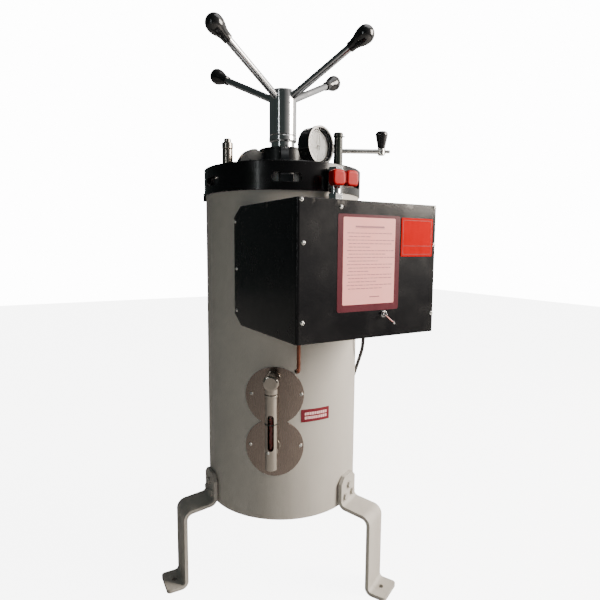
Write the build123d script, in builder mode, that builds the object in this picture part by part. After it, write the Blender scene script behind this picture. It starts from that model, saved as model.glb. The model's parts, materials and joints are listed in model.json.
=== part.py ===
from build123d import *
import os
from math import cos, pi, radians, sin, sqrt, tan

# Vertical laboratory autoclave: a lagged steam chamber on three legs, a lid that six radial
# bolts lock into a slotted ring, a screw jack that lifts the lid, and a control box in front.
# Millimetres. The origin is on the floor on the body's axis, +Z is up and -Y is the front,
# where the control box is. Azimuths are counted from the front (0) towards the right (+90).

os.makedirs("parts", exist_ok=True)

# ---------------------------------------------------------------- driving dimensions
clearance = 0.3                 # between curved faces of pieces that move past each other
base = 181.0                    # height of the body's bottom edge above the floor

# body
jacket_radius = 175.0
jacket_height = 688.0
jacket_wall = 1.5
rim_width = 14.0                # turned-in rim at the foot of the jacket
body_top = base + jacket_height
bottom_plate_height = base + 8.0
chamber_radius = 150.0
chamber_wall = 3.0
chamber_floor = base + 110.0
chamber_floor_thickness = 5.0
flange_thickness = 8.0
flange_radius = 173.2
insulation_gap = 1.2
nozzle_radius = 10.5
nozzle_bore = 7.0
nozzle_reach = 172.0

# locking ring
ring_radius = 178.0
ring_wall = 10.0
ring_height = 57.0
slot_count = 6
slot_pitch = 60.0
first_slot = -25.0
slot_width = 60.0
slot_height = 18.0
slot_middle = body_top + 24.5

# lid and crosshead drum
gasket_height = 8.0
gasket_inner = 152.0
lid_radius = 163.0
lid_thickness = 7.0
lid_bottom = body_top + gasket_height
lid_top = lid_bottom + lid_thickness
lid_rim_wall = 3.0
lid_rim_height = 24.0
window_width = 31.0
window_height = 20.0
pedestal_radius = 42.0
pedestal_flange_radius = 62.0
pedestal_flange_height = 10.0
drum_radius = 55.0
drum_bottom = body_top + 60.0
drum_top = body_top + 103.0
cover_thickness = 4.0

# radial bolt arms and the scroll plate that drives them
arm_width = 16.0
arm_top = body_top + 95.0
arm_depth = 18.0
arm_inner = 18.0
arm_shoulder = 66.0
arm_root = 59.0                 # where an arm starts to rise outside the drum
arm_crown = 74.0
arm_hump = 7.0
arm_outer = 118.0
arm_leg = 22.0
arm_knee_height = body_top + 50.0
bolt_width = 28.0
bolt_height = 15.0
bolt_tip = 166.0
bolt_bottom = body_top + 17.0
bolt_travel = 14.0
scroll_angle = 70.0             # turn of the handwheel that drives the bolts home
pin_radius = 4.0
pin_circle = 24.0               # radius of the arm pins with the bolts drawn back
scroll_radius = 48.0
scroll_thickness = 6.0
scroll_bottom = arm_top + 1.2
channel_clearance = 0.6

# handwheel
spindle_radius = 12.0
neck_radius = 22.5
neck_top = body_top + 108.0
lower_collar_radius = 27.0
lower_collar_top = body_top + 124.0
groove_radius = 24.0
upper_collar_bottom = body_top + 126.0
collar_radius = 31.5
collar_top = body_top + 138.0
hub_radius = 31.0
hub_top = body_top + 238.0
spoke_count = 4
first_spoke = -66.1
spoke_radius = 8.0
spoke_root_height = body_top + 225.0
knob_reach = 210.0              # from the body's axis to the middle of a knob's ball
knob_height = body_top + 311.0
ball_radius = 18.5
knob_length = 58.0
knob_neck_radius = 10.5

# lid lifting gear
post_place = (188.0, 52.0)
post_radius = 14.0
post_bottom = body_top - 250.0
post_top = body_top + 54.0
nut_length = 30.0
screw_radius = 7.0
screw_clearance = 0.1
screw_length = 120.0
lift_arm_bottom = body_top + 60.0
lift_arm_height = 16.0
lift_arm_width = 24.0
lift_boss_radius = 19.0
lift_arm_root = 31.0            # distance from the body's axis to the milled seat in the drum
crank_azimuth = 62.5
crank_rod_radius = 6.0
crank_rod_height = body_top + 134.0
crank_rod_length = 122.0
crank_throw = 112.0
crank_hub_radius = 11.5
crank_hub_top = body_top + 165.0

# control box
box_left = -155.0
box_right = 144.0
box_front = -346.3
box_bottom = base + 418.0
box_height = 236.3
box_top = box_bottom + box_height
sheet = 1.5
panel_corner = 5.0
panel_return = 14.0
plate_back = -118.0             # rear edge of the box's top and bottom plates
side_slope = 0.62               # rise over run of the cut-off rear corners
jacket_gap = 0.5

# fittings
gauge_azimuth = 4.3
gauge_reach = 129.1
gauge_face_azimuth = 17.0
gauge_height = body_top + 96.5
gauge_radius = 39.5
gauge_depth = 34.0
relief_azimuth = -115.0
relief_reach = 126.0
vent_azimuth = 5.1
vent_reach = 195.0
vent_height = base + 600.0
level_azimuth = -33.5
level_reach = 205.0
level_plate_azimuth = -32.8
level_port_heights = (base + 165.0, base + 308.0)
copper_azimuth = -17.2
copper_reach = 187.0
drain_height = base + 60.0
cord_radius = 4.0
gland_place = (129.5, -149.0)


# ---------------------------------------------------------------- helpers
def outward(azimuth, reach=1.0, height=0.0):
    """Point or vector `reach` away from the body's axis at an azimuth."""
    return Vector(reach * sin(radians(azimuth)), -reach * cos(radians(azimuth)), height)


def facing(azimuth, reach, height):
    """Plane that looks away from the body's axis: x level to the right, y up."""
    across = (cos(radians(azimuth)), sin(radians(azimuth)), 0)
    return Plane(origin=outward(azimuth, reach, height), x_dir=across, z_dir=outward(azimuth))


def upright(azimuth):
    """Plane through the body's axis: x away from the axis, y up."""
    side = (-cos(radians(azimuth)), -sin(radians(azimuth)), 0)
    return Plane(origin=(0, 0, 0), x_dir=outward(azimuth), z_dir=side)


def save(piece, name):
    """Labels a finished piece and writes it as parts/name.step."""
    piece.label = name
    export_step(piece, f"parts/{name}.step")


def turned(points, plane=Plane.XZ):
    """Turns a profile of straight runs about the plane's y axis, inside a BuildPart."""
    with BuildSketch(plane) as profile:
        with BuildLine():
            Polyline(*points, close=True)
        make_face()
    revolve(profile.sketch, axis=Axis(plane.origin, plane.y_dir))


bolt_azimuths = [first_slot + slot_pitch * step for step in range(slot_count)]
spoke_azimuths = [first_spoke + 360 / spoke_count * step for step in range(spoke_count)]

# ---------------------------------------------------------------- body
port_hole = 15.0
small_hole = 5.5
service_width = 180.0
service_height = 170.0
service_middle = base + 535.0
vent_hole = 12.0
drain_hole = 12.0

leg_azimuths = {"left_leg": -92.0, "front_leg": 28.0, "rear_leg": 148.0}
leg_bolt_places = ((0.0, base + 42.0), (17.0, base + 20.0), (-17.0, base + 20.0))
leg_bolt_radius = 4.0
leg_bolt_hole = 4.4

with BuildPart() as jacket:
    with BuildSketch(Plane.XY.offset(base)):
        Circle(jacket_radius)
        Circle(jacket_radius - jacket_wall, mode=Mode.SUBTRACT)
    extrude(amount=jacket_height)
    with BuildSketch(Plane.XY.offset(base)):
        Circle(jacket_radius)
        Circle(jacket_radius - rim_width, mode=Mode.SUBTRACT)
    extrude(amount=jacket_wall)
    for port_height in level_port_heights:
        with BuildSketch(facing(level_azimuth, 0, port_height)):
            Circle(port_hole)
        extrude(amount=jacket_radius + 1, mode=Mode.SUBTRACT)
    with BuildSketch(facing(copper_azimuth, 0, base + 322.0)):
        Circle(small_hole)
    extrude(amount=jacket_radius + 1, mode=Mode.SUBTRACT)
    with BuildSketch(facing(0, 0, service_middle)):
        RectangleRounded(service_width, service_height, vent_hole)
    extrude(amount=jacket_radius + 1, mode=Mode.SUBTRACT)
    with BuildSketch(facing(180, 0, drain_height)):
        Circle(drain_hole)
    extrude(amount=jacket_radius + 1, mode=Mode.SUBTRACT)
    for leg_azimuth in leg_azimuths.values():
        for across, bolt_level in leg_bolt_places:
            with BuildSketch(facing(leg_azimuth, 0, bolt_level)):
                with Locations((across, 0)):
                    Circle(leg_bolt_hole)
            extrude(amount=jacket_radius + 1, mode=Mode.SUBTRACT)
save(jacket.part, "jacket")

drain_bore = 7.0
drain_bend = 24.0
drain_end = 196.0
vent_slot_count = 8
vent_slot_circle = 110.0
vent_slot_length = 50.0
vent_slot_width = 8.0
drain_pipe_radius = 9.0

with BuildPart() as bottom_plate:
    with BuildSketch(Plane.XY.offset(bottom_plate_height)):
        Circle(jacket_radius - jacket_wall - clearance)
        with PolarLocations(vent_slot_circle, vent_slot_count):
            SlotOverall(vent_slot_length, vent_slot_width, mode=Mode.SUBTRACT)
    extrude(amount=-2.0)
save(bottom_plate.part, "bottom_plate")

with BuildPart() as chamber:
    with BuildSketch(Plane.XY.offset(chamber_floor)):
        Circle(chamber_radius + chamber_wall)
    extrude(amount=body_top - chamber_floor)
    with BuildSketch(Plane.XY.offset(body_top - flange_thickness)):
        Circle(flange_radius)
    extrude(amount=flange_thickness)
    for port_height in level_port_heights:
        with BuildSketch(facing(level_azimuth, chamber_radius - 5, port_height)):
            Circle(nozzle_radius)
        extrude(amount=nozzle_reach - chamber_radius + 5)
    with BuildSketch(facing(vent_azimuth, chamber_radius - 5, vent_height)):
        Circle(nozzle_radius)
    extrude(amount=nozzle_reach - chamber_radius + 5)
    with BuildSketch(Plane.XY.offset(chamber_floor + chamber_floor_thickness)):
        Circle(chamber_radius)
    extrude(amount=body_top - chamber_floor, mode=Mode.SUBTRACT)
    for port_height in level_port_heights:
        with BuildSketch(facing(level_azimuth, 0, port_height)):
            Circle(nozzle_bore)
        extrude(amount=nozzle_reach + 1, mode=Mode.SUBTRACT)
    with BuildSketch(facing(vent_azimuth, 0, vent_height)):
        Circle(nozzle_bore)
    extrude(amount=nozzle_reach + 1, mode=Mode.SUBTRACT)
    with BuildLine():
        FilletPolyline(
            (0, 0, chamber_floor + 1),
            (0, 0, drain_height),
            (0, drain_end, drain_height),
            radius=drain_bend,
        )
    with BuildSketch(Plane.XY.offset(chamber_floor + 1)):
        Circle(drain_pipe_radius)
        Circle(drain_bore, mode=Mode.SUBTRACT)
    sweep()
    with Locations((0, 0, chamber_floor)):
        Cylinder(drain_bore, 3 * chamber_floor_thickness, mode=Mode.SUBTRACT)
save(chamber.part, "chamber")

with BuildPart() as insulation:
    with BuildSketch(Plane.XY.offset(chamber_floor)):
        Circle(jacket_radius - jacket_wall - insulation_gap)
        Circle(chamber_radius + chamber_wall + insulation_gap, mode=Mode.SUBTRACT)
    extrude(amount=body_top - flange_thickness - chamber_floor - insulation_gap)
    for port_height in level_port_heights:
        with BuildSketch(facing(level_azimuth, 0, port_height)):
            Circle(nozzle_radius + insulation_gap)
        extrude(amount=jacket_radius, mode=Mode.SUBTRACT)
    with BuildSketch(facing(vent_azimuth, 0, vent_height)):
        Circle(nozzle_radius + insulation_gap)
    extrude(amount=jacket_radius, mode=Mode.SUBTRACT)
    with BuildSketch(facing(copper_azimuth, 0, base + 322.0)):
        Circle(small_hole)
    extrude(amount=jacket_radius, mode=Mode.SUBTRACT)
save(insulation.part, "insulation")

with BuildPart() as gasket:
    with BuildSketch(Plane.XY.offset(body_top)):
        Circle(lid_radius)
        Circle(gasket_inner, mode=Mode.SUBTRACT)
    extrude(amount=gasket_height)
save(gasket.part, "gasket")

with BuildPart() as locking_ring:
    with BuildSketch(Plane.XY.offset(body_top)):
        Circle(ring_radius)
        Circle(ring_radius - ring_wall, mode=Mode.SUBTRACT)
    extrude(amount=ring_height)
    chamfer(locking_ring.edges().group_by(Axis.Z)[-1], 1.5)
    for slot_azimuth in bolt_azimuths:
        with BuildSketch(facing(slot_azimuth, 0, slot_middle)):
            SlotOverall(slot_width, slot_height)
        extrude(amount=ring_radius + 1, mode=Mode.SUBTRACT)
save(locking_ring.part, "locking_ring")

# ---------------------------------------------------------------- legs
leg_width = 66.0
leg_thickness = 8.0
leg_plate_middle = jacket_radius + 0.3 + leg_thickness / 2
leg_plate_top = base + 66.0
leg_shelf_inner = base + 1.0
leg_shelf_outer = base - 8.0
leg_drop_reach = 248.0
leg_tip = 291.0
leg_bends = [14.0, 18.0, 12.0]
leg_plate_chamfer = 14.0
foot_corner = 8.0
foot_hole_reach = 268.0
foot_hole_radius = 5.5

for leg_name, leg_azimuth in leg_azimuths.items():
    with BuildPart() as leg:
        with BuildSketch(upright(leg_azimuth)):
            with BuildLine():
                FilletPolyline(
                    (leg_plate_middle, leg_plate_top),
                    (leg_plate_middle, leg_shelf_inner),
                    (leg_drop_reach, leg_shelf_outer),
                    (leg_drop_reach, leg_thickness / 2),
                    (leg_tip, leg_thickness / 2),
                    radius=leg_bends,
                )
            trace(line_width=leg_thickness)
        extrude(amount=leg_width / 2, both=True)
        corner_edges = leg.edges().filter_by(lambda e: e.length < leg_thickness + 0.1)
        top_corners = corner_edges.filter_by(lambda e: e.center().Z > leg_plate_top - 0.5)
        chamfer(top_corners, leg_plate_chamfer)
        tip_corners = leg.edges().filter_by(Axis.Z).filter_by(
            lambda e: Vector(e.center().X, e.center().Y, 0).length > leg_tip - 0.5
        )
        fillet(tip_corners, foot_corner)
        for across, bolt_level in leg_bolt_places:
            with BuildSketch(facing(leg_azimuth, jacket_radius - 1, bolt_level)):
                with Locations((across, 0)):
                    Circle(leg_bolt_hole)
            extrude(amount=leg_thickness + 3, mode=Mode.SUBTRACT)
        with Locations(outward(leg_azimuth, foot_hole_reach, leg_thickness / 2)):
            Cylinder(foot_hole_radius, 2 * leg_thickness, mode=Mode.SUBTRACT)
    save(leg.part, leg_name)

bolt_head_radius = 7.4
bolt_head_height = 5.0
bolt_shank_length = 16.0
leg_face = leg_plate_middle + leg_thickness / 2

with BuildPart() as leg_bolts:
    for leg_azimuth in leg_azimuths.values():
        for across, bolt_level in leg_bolt_places:
            with BuildSketch(facing(leg_azimuth, leg_face, bolt_level)):
                with Locations((across, 0)):
                    RegularPolygon(bolt_head_radius, 6)
            extrude(amount=bolt_head_height)
            with BuildSketch(facing(leg_azimuth, leg_face, bolt_level)):
                with Locations((across, 0)):
                    Circle(leg_bolt_radius)
            extrude(amount=-bolt_shank_length)
save(leg_bolts.part, "leg_bolts")

# ---------------------------------------------------------------- heater, basket and drain
heater_circle = 100.0
heater_rod = 5.5
heater_height = chamber_floor + 26.0
heater_gap_angle = 24.0
heater_seat = chamber_floor + chamber_floor_thickness

with BuildPart() as immersion_heater:
    with BuildLine(Plane.XY.offset(heater_height)) as heater_line:
        CenterArc((0, 0), heater_circle, heater_gap_angle / 2, 360 - heater_gap_angle)
    with BuildSketch(Plane(origin=heater_line.line @ 0, z_dir=heater_line.line % 0)):
        Circle(heater_rod)
    sweep()
    for end in (0, 1):
        end_point = heater_line.line @ end
        with BuildSketch(Plane(origin=(end_point.X, end_point.Y, heater_seat))):
            Circle(heater_rod)
        extrude(amount=heater_height - heater_seat)
        with Locations((end_point.X, end_point.Y, heater_height)):
            Sphere(heater_rod)
save(immersion_heater.part, "immersion_heater")

basket_radius = 138.0
basket_wall = 1.5
basket_bottom = chamber_floor + 42.0
basket_height = 490.0
basket_foot_circle = 122.0
basket_foot_radius = 6.0
basket_drain_circles = ((40.0, 8), (75.0, 14), (104.0, 20))
basket_drain_radius = 7.0
basket_rows = 5
basket_columns = 20
basket_slot = (11.0, 70.0)
basket_rim = 4.0
slot_cut_depth = 10.0

with BuildPart() as basket:
    with BuildSketch(Plane.XY.offset(basket_bottom)):
        Circle(basket_radius)
    extrude(amount=basket_height)
    with BuildSketch(Plane.XY.offset(basket_bottom + basket_height)):
        Circle(basket_radius + basket_rim)
    extrude(amount=-basket_rim)
    with BuildSketch(Plane.XY.offset(basket_bottom + basket_wall)):
        Circle(basket_radius - basket_wall)
    extrude(amount=basket_height, mode=Mode.SUBTRACT)
    for row in range(basket_rows):
        row_height = basket_bottom + basket_height * (row + 0.55) / (basket_rows + 0.1)
        for column in range(basket_columns):
            slot_turn = 360 / basket_columns * (column + row % 2 / 2)
            with BuildSketch(facing(slot_turn, basket_radius - 5, row_height)):
                SlotOverall(basket_slot[1], basket_slot[0], rotation=90)
            extrude(amount=slot_cut_depth, mode=Mode.SUBTRACT)
    with BuildSketch(Plane.XY.offset(basket_bottom - 1)):
        for hole_circle, hole_count in basket_drain_circles:
            with PolarLocations(hole_circle, hole_count):
                Circle(basket_drain_radius)
    extrude(amount=basket_wall + 2, mode=Mode.SUBTRACT)
    with BuildSketch(Plane.XY.offset(basket_bottom)):
        with PolarLocations(basket_foot_circle, 4, start_angle=45):
            Circle(basket_foot_radius)
    extrude(amount=-(basket_bottom - chamber_floor - chamber_floor_thickness))
save(basket.part, "basket")

cock_length = 44.0
cock_radius = 14.0
cock_collar = 16.5
cock_stem_radius = 5.0

with BuildPart() as drain_cock:
    turned(
        (
            (drain_bore, 0),
            (cock_collar, 0),
            (cock_collar, 10),
            (cock_radius, 12),
            (cock_radius, cock_length - 12),
            (cock_collar, cock_length - 10),
            (cock_collar, cock_length),
            (drain_bore, cock_length),
        ),
        Plane(origin=(0, drain_end, drain_height), x_dir=(1, 0, 0), z_dir=(0, 0, 1)),
    )
    with BuildSketch(Plane.XY.offset(drain_height + cock_radius - 2)):
        with Locations((0, drain_end + cock_length / 2)):
            Circle(cock_stem_radius + 3)
    extrude(amount=5)
    with BuildSketch(Plane.XY.offset(drain_height + cock_radius - 2)):
        with Locations((0, drain_end + cock_length / 2)):
            Circle(cock_stem_radius)
    extrude(amount=-4, mode=Mode.SUBTRACT)
    with BuildSketch(Plane.XY.offset(drain_height + cock_radius + 4)):
        with Locations((0, drain_end + cock_length / 2)):
            Circle(cock_stem_radius + 0.08)
    extrude(amount=-10, mode=Mode.SUBTRACT)
save(drain_cock.part, "drain_cock")

cock_lever_length = 62.0
cock_lever_width = 16.0

with BuildPart() as drain_cock_lever:
    with BuildSketch(Plane.XY.offset(drain_height + cock_radius + 4)):
        with Locations((cock_lever_length / 2 - 8, drain_end + cock_length / 2)):
            SlotOverall(cock_lever_length, cock_lever_width)
    extrude(amount=3.5)
    with BuildSketch(Plane.XY.offset(drain_height + cock_radius - 4)):
        with Locations((0, drain_end + cock_length / 2)):
            Circle(cock_stem_radius)
    extrude(amount=14)
save(drain_cock_lever.part, "drain_cock_lever")

# ---------------------------------------------------------------- control box
box_middle = (box_left + box_right) / 2
box_width = box_right - box_left
panel_screw_places = (
    (-147.0, 232.5),
    (-143.0, 164.5),
    (-144.0, 35.5),
    (-71.5, 224.0),
    (137.0, 231.5),
    (137.8, 163.5),
    (137.8, 35.0),
)
# each side screw: from the side's rear edge, from the box's bottom
side_screw_places = ((-6.2, 208.0), (-12.2, 113.5), (-11.7, 28.5))
small_screw_radius = 2.0
small_screw_hole = 2.2
small_screw_head = 4.0
small_screw_head_height = 2.2
small_screw_length = 3.0
toggle_place = (21.0, base + 459.0)
toggle_bush_radius = 4.5
gland_thread_radius = 9.0
shell_front = box_front + panel_return
tongue_gap = sheet + clearance


def side_rear(side_x):
    """Where a side plate's inner face meets the jacket."""
    return -sqrt((jacket_radius + jacket_gap) ** 2 - (abs(side_x) - sheet) ** 2)


side_ends = {-1: (box_left, side_rear(box_left)), 1: (box_right, side_rear(box_right))}

with BuildPart() as box_shell:
    for plate_bottom in (box_bottom, box_top - sheet):
        with BuildSketch(Plane.XY.offset(plate_bottom)):
            with Locations((box_middle, (shell_front + plate_back) / 2)):
                Rectangle(box_width, plate_back - shell_front)
            with Locations((box_middle, (box_front + tongue_gap + plate_back) / 2)):
                RectangleRounded(
                    box_width - 2 * tongue_gap,
                    plate_back - box_front - tongue_gap,
                    panel_corner,
                )
            Circle(jacket_radius + jacket_gap, mode=Mode.SUBTRACT)
        extrude(amount=sheet)
    for side, (side_x, side_back) in side_ends.items():
        corner_rise = side_slope * (side_back - plate_back)
        with BuildSketch(Plane.YZ.offset(side_x)):
            with BuildLine():
                Polyline(
                    (shell_front, box_bottom),
                    (plate_back, box_bottom),
                    (side_back, box_bottom + corner_rise),
                    (side_back, box_top - corner_rise),
                    (plate_back, box_top),
                    (shell_front, box_top),
                    close=True,
                )
            make_face()
        extrude(amount=-side * sheet)
        for screw_y, screw_rise in side_screw_places:
            with BuildSketch(Plane.YZ.offset(side_x + side)):
                with Locations((side_back + screw_y, box_bottom + screw_rise)):
                    Circle(small_screw_hole)
            extrude(amount=-side * 3 * sheet, mode=Mode.SUBTRACT)
    copper_point = outward(copper_azimuth, copper_reach)
    with BuildSketch(Plane.XY.offset(box_bottom - 1)):
        with Locations(gland_place):
            Circle(gland_thread_radius + 0.2)
        with Locations((copper_point.X, copper_point.Y)):
            Circle(small_hole)
    extrude(amount=sheet + 2, mode=Mode.SUBTRACT)
    vent_point = outward(vent_azimuth, vent_reach)
    with BuildSketch(Plane.XY.offset(box_top - sheet - 1)):
        with Locations((vent_point.X, vent_point.Y)):
            Circle(9.0)
    extrude(amount=sheet + 2, mode=Mode.SUBTRACT)
save(box_shell.part, "box_shell")

with BuildPart() as front_panel:
    with BuildSketch(Plane.XY.offset(box_bottom)):
        with Locations((box_middle, box_front / 2)):
            RectangleRounded(box_width, -box_front, panel_corner)
        with Locations((box_middle, box_front / 2)):
            RectangleRounded(
                box_width - 2 * sheet,
                -box_front - 2 * sheet,
                panel_corner - sheet,
                mode=Mode.SUBTRACT,
            )
        with Locations((0, shell_front - clearance)):
            Rectangle(3 * box_width, -2 * box_front, align=(Align.CENTER, Align.MIN), mode=Mode.SUBTRACT)
    extrude(amount=box_height)
    with BuildSketch(Plane.XZ.offset(-box_front + 1)):
        for screw_x, screw_rise in panel_screw_places:
            with Locations((screw_x, box_bottom + screw_rise)):
                Circle(small_screw_hole)
        with Locations(toggle_place):
            Circle(toggle_bush_radius + 0.1)
    extrude(amount=-2 * sheet - 1, mode=Mode.SUBTRACT)
save(front_panel.part, "front_panel")

card_width = 132.6
card_height = 165.2
card_middle = (-11.5, base + 548.8)
card_thickness = 0.6
badge_width = 75.4
badge_height = 68.7
badge_middle = (95.7, base + 594.5)
badge_thickness = 1.0

with BuildPart() as instruction_card:
    with BuildSketch(Plane.XZ.offset(-box_front)):
        with Locations(card_middle):
            RectangleRounded(card_width, card_height, 4.0)
    extrude(amount=card_thickness)
save(instruction_card.part, "instruction_card")

with BuildPart() as badge_plate:
    with BuildSketch(Plane.XZ.offset(-box_front)):
        with Locations(badge_middle):
            RectangleRounded(badge_width, badge_height, 2.0)
    extrude(amount=badge_thickness)
save(badge_plate.part, "badge_plate")

toggle_bush_length = 7.0
toggle_nut_radius = 6.2
toggle_nut_height = 2.5
toggle_body = (14.0, 28.0, 22.0)
toggle_lever_length = 32.0
toggle_droop = 24.0
trunnion_radius = 1.2
toggle_plane = Plane(
    origin=(toggle_place[0], box_front, toggle_place[1]), x_dir=(1, 0, 0), z_dir=(0, -1, 0)
)
toggle_pivot = Vector(toggle_place[0], box_front - toggle_bush_length + 4.0, toggle_place[1])

with BuildPart() as toggle_switch:
    with BuildSketch(toggle_plane):
        Circle(toggle_bush_radius)
    extrude(amount=toggle_bush_length)
    with BuildSketch(toggle_plane):
        RegularPolygon(toggle_nut_radius, 6)
    extrude(amount=toggle_nut_height)
    with BuildSketch(toggle_plane.offset(-sheet)):
        Circle(toggle_bush_radius)
    extrude(amount=sheet)
    with BuildSketch(toggle_plane.offset(-sheet)):
        Rectangle(toggle_body[0], toggle_body[1])
    extrude(amount=-toggle_body[2])
    with BuildSketch(toggle_plane.offset(toggle_bush_length)):
        Circle(toggle_bush_radius - 0.7)
    extrude(amount=-6.5, mode=Mode.SUBTRACT)
    with Locations(toggle_pivot):
        Cylinder(
            trunnion_radius + 0.1,
            2 * toggle_bush_radius + 0.2,
            rotation=(0, 90, 0),
            mode=Mode.SUBTRACT,
        )
save(toggle_switch.part, "toggle_switch")

lever_direction = Vector(0, -cos(radians(toggle_droop)), -sin(radians(toggle_droop)))
with BuildPart() as toggle_lever:
    turned(
        (
            (0, -1.5),
            (1.7, -1.5),
            (1.7, 1.8),
            (1.3, 3),
            (1.4, 8),
            (1.9, toggle_lever_length - 2),
            (1.3, toggle_lever_length),
            (0, toggle_lever_length),
        ),
        Plane(origin=toggle_pivot, x_dir=(1, 0, 0), z_dir=Vector(1, 0, 0).cross(lever_direction)),
    )
    with Locations(toggle_pivot):
        Cylinder(trunnion_radius, 2 * toggle_bush_radius - 0.4, rotation=(0, 90, 0))
save(toggle_lever.part, "toggle_lever")

switch_size = (46.0, 30.0, 62.0)
switch_offset = -14.0
switch_lift = 24.0
bellows_radius = 15.0
copper_radius = 4.0
copper_bore = 2.8
copper_bend = 9.5
copper_level = base + 322.0

with BuildPart() as pressure_switch:
    with BuildSketch(Plane.XY.offset(box_bottom + sheet + switch_lift)):
        with Locations((copper_point.X, copper_point.Y + switch_offset)):
            Rectangle(switch_size[0], switch_size[1])
    extrude(amount=switch_size[2])
    with BuildSketch(Plane.XY.offset(box_bottom + sheet + 6)):
        with Locations((copper_point.X, copper_point.Y)):
            Circle(bellows_radius - 4)
    extrude(amount=switch_lift)
    with BuildSketch(Plane.XY.offset(box_bottom + sheet + 6)):
        with Locations((copper_point.X, copper_point.Y)):
            Circle(copper_radius)
    extrude(amount=10, mode=Mode.SUBTRACT)
save(pressure_switch.part, "pressure_switch")

with BuildPart() as copper_line:
    with BuildLine():
        FilletPolyline(
            (copper_point.X, copper_point.Y, box_bottom + sheet + 16),
            (copper_point.X, copper_point.Y, copper_level),
            outward(copper_azimuth, chamber_radius + chamber_wall + 2, copper_level),
            radius=copper_bend,
        )
    with BuildSketch(Plane.XY.offset(box_bottom + sheet + 16)):
        with Locations((copper_point.X, copper_point.Y)):
            Circle(copper_radius)
            Circle(copper_bore, mode=Mode.SUBTRACT)
    sweep()
save(copper_line.part, "copper_line")

# ---------------------------------------------------------------- steam release valve
vent_pipe_radius = 8.0
vent_pipe_bore = 6.0
vent_bend = 15.0
valve_bottom = base + 668.0
valve_top = base + 733.0
valve_radius = 12.0
valve_hex = 15.6
valve_stem_level = base + 709.0
valve_stem_radius = 4.0
valve_neck_radius = 7.5
valve_neck_length = 9.0
handle_span = 60.0
handle_height = 31.0
handle_thickness = 16.0
handle_groove = 3.0
handle_corner = 8.0
handle_web_depth = 13.0
handle_gap = 1.0
vent_front = Plane(
    origin=(vent_point.X, vent_point.Y, valve_stem_level), x_dir=(1, 0, 0), z_dir=(0, -1, 0)
)

with BuildPart() as vent_pipe:
    with BuildLine():
        FilletPolyline(
            (vent_point.X, vent_point.Y, valve_bottom),
            outward(vent_azimuth, vent_reach, vent_height),
            outward(vent_azimuth, nozzle_reach + 0.3, vent_height),
            radius=vent_bend,
        )
    with BuildSketch(Plane.XY.offset(valve_bottom)):
        with Locations((vent_point.X, vent_point.Y)):
            Circle(vent_pipe_radius)
            Circle(vent_pipe_bore, mode=Mode.SUBTRACT)
    sweep()
save(vent_pipe.part, "vent_pipe")

with BuildPart() as vent_valve:
    with BuildSketch(Plane.XY.offset(valve_bottom)):
        with Locations((vent_point.X, vent_point.Y)):
            RegularPolygon(valve_hex, 6)
    extrude(amount=14)
    with BuildSketch(Plane.XY.offset(valve_bottom + 14)):
        with Locations((vent_point.X, vent_point.Y)):
            Circle(valve_radius)
    extrude(amount=valve_top - valve_bottom - 28)
    with BuildSketch(Plane.XY.offset(valve_top)):
        with Locations((vent_point.X, vent_point.Y)):
            RegularPolygon(valve_hex, 6)
    extrude(amount=-14)
    with BuildSketch(vent_front):
        Circle(valve_neck_radius)
    extrude(amount=valve_radius + valve_neck_length)
    with Locations((vent_point.X, vent_point.Y, valve_bottom)):
        Cylinder(vent_pipe_bore, 3 * (valve_top - valve_bottom), mode=Mode.SUBTRACT)
    with BuildSketch(vent_front.offset(valve_radius)):
        Circle(valve_stem_radius + 0.08)
    extrude(amount=valve_neck_length + 1, mode=Mode.SUBTRACT)
save(vent_valve.part, "vent_valve")

handle_back = valve_radius + valve_neck_length + handle_gap
lobe_width = (handle_span - handle_groove) / 2
lobe_offset = (handle_span - lobe_width) / 2
with BuildPart() as vent_handle:
    with BuildSketch(vent_front.offset(handle_back)):
        with Locations((-lobe_offset, 0), (lobe_offset, 0)):
            RectangleRounded(lobe_width, handle_height, handle_corner)
    extrude(amount=handle_thickness)
    fillet(vent_handle.faces().group_by(Axis.Y)[0].edges(), 4.5)
    with BuildSketch(vent_front.offset(handle_back)):
        Rectangle(2 * lobe_offset, handle_height * 0.62)
    extrude(amount=handle_web_depth)
    with BuildSketch(vent_front.offset(handle_back)):
        Circle(valve_stem_radius)
    extrude(amount=-(handle_gap + valve_neck_length - 0.4))
save(vent_handle.part, "vent_handle")

# ---------------------------------------------------------------- water level gauge
level_plate_circle = 61.0
level_plate_middles = (base + 160.0, base + 270.5)
level_plate_inner = jacket_radius + 0.05
level_plate_outer = jacket_radius + 1.25
level_screw_places = (
    (-48.6, base + 273.0),
    (-14.6, base + 273.0),
    (-49.5, base + 163.0),
    (-14.8, base + 163.0),
)

with BuildPart() as level_plate:
    with BuildSketch(Plane.XY.offset(base + 90)):
        Circle(level_plate_outer)
        Circle(level_plate_inner, mode=Mode.SUBTRACT)
    extrude(amount=260)
    with BuildSketch(facing(level_plate_azimuth, 0, 0)):
        with Locations(*[(0, middle) for middle in level_plate_middles]):
            Circle(level_plate_circle)
    extrude(amount=jacket_radius + 20, mode=Mode.INTERSECT)
    for port_height in level_port_heights:
        with BuildSketch(facing(level_azimuth, 0, port_height)):
            Circle(port_hole)
        extrude(amount=jacket_radius + 5, mode=Mode.SUBTRACT)
save(level_plate.part, "level_plate")

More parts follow.
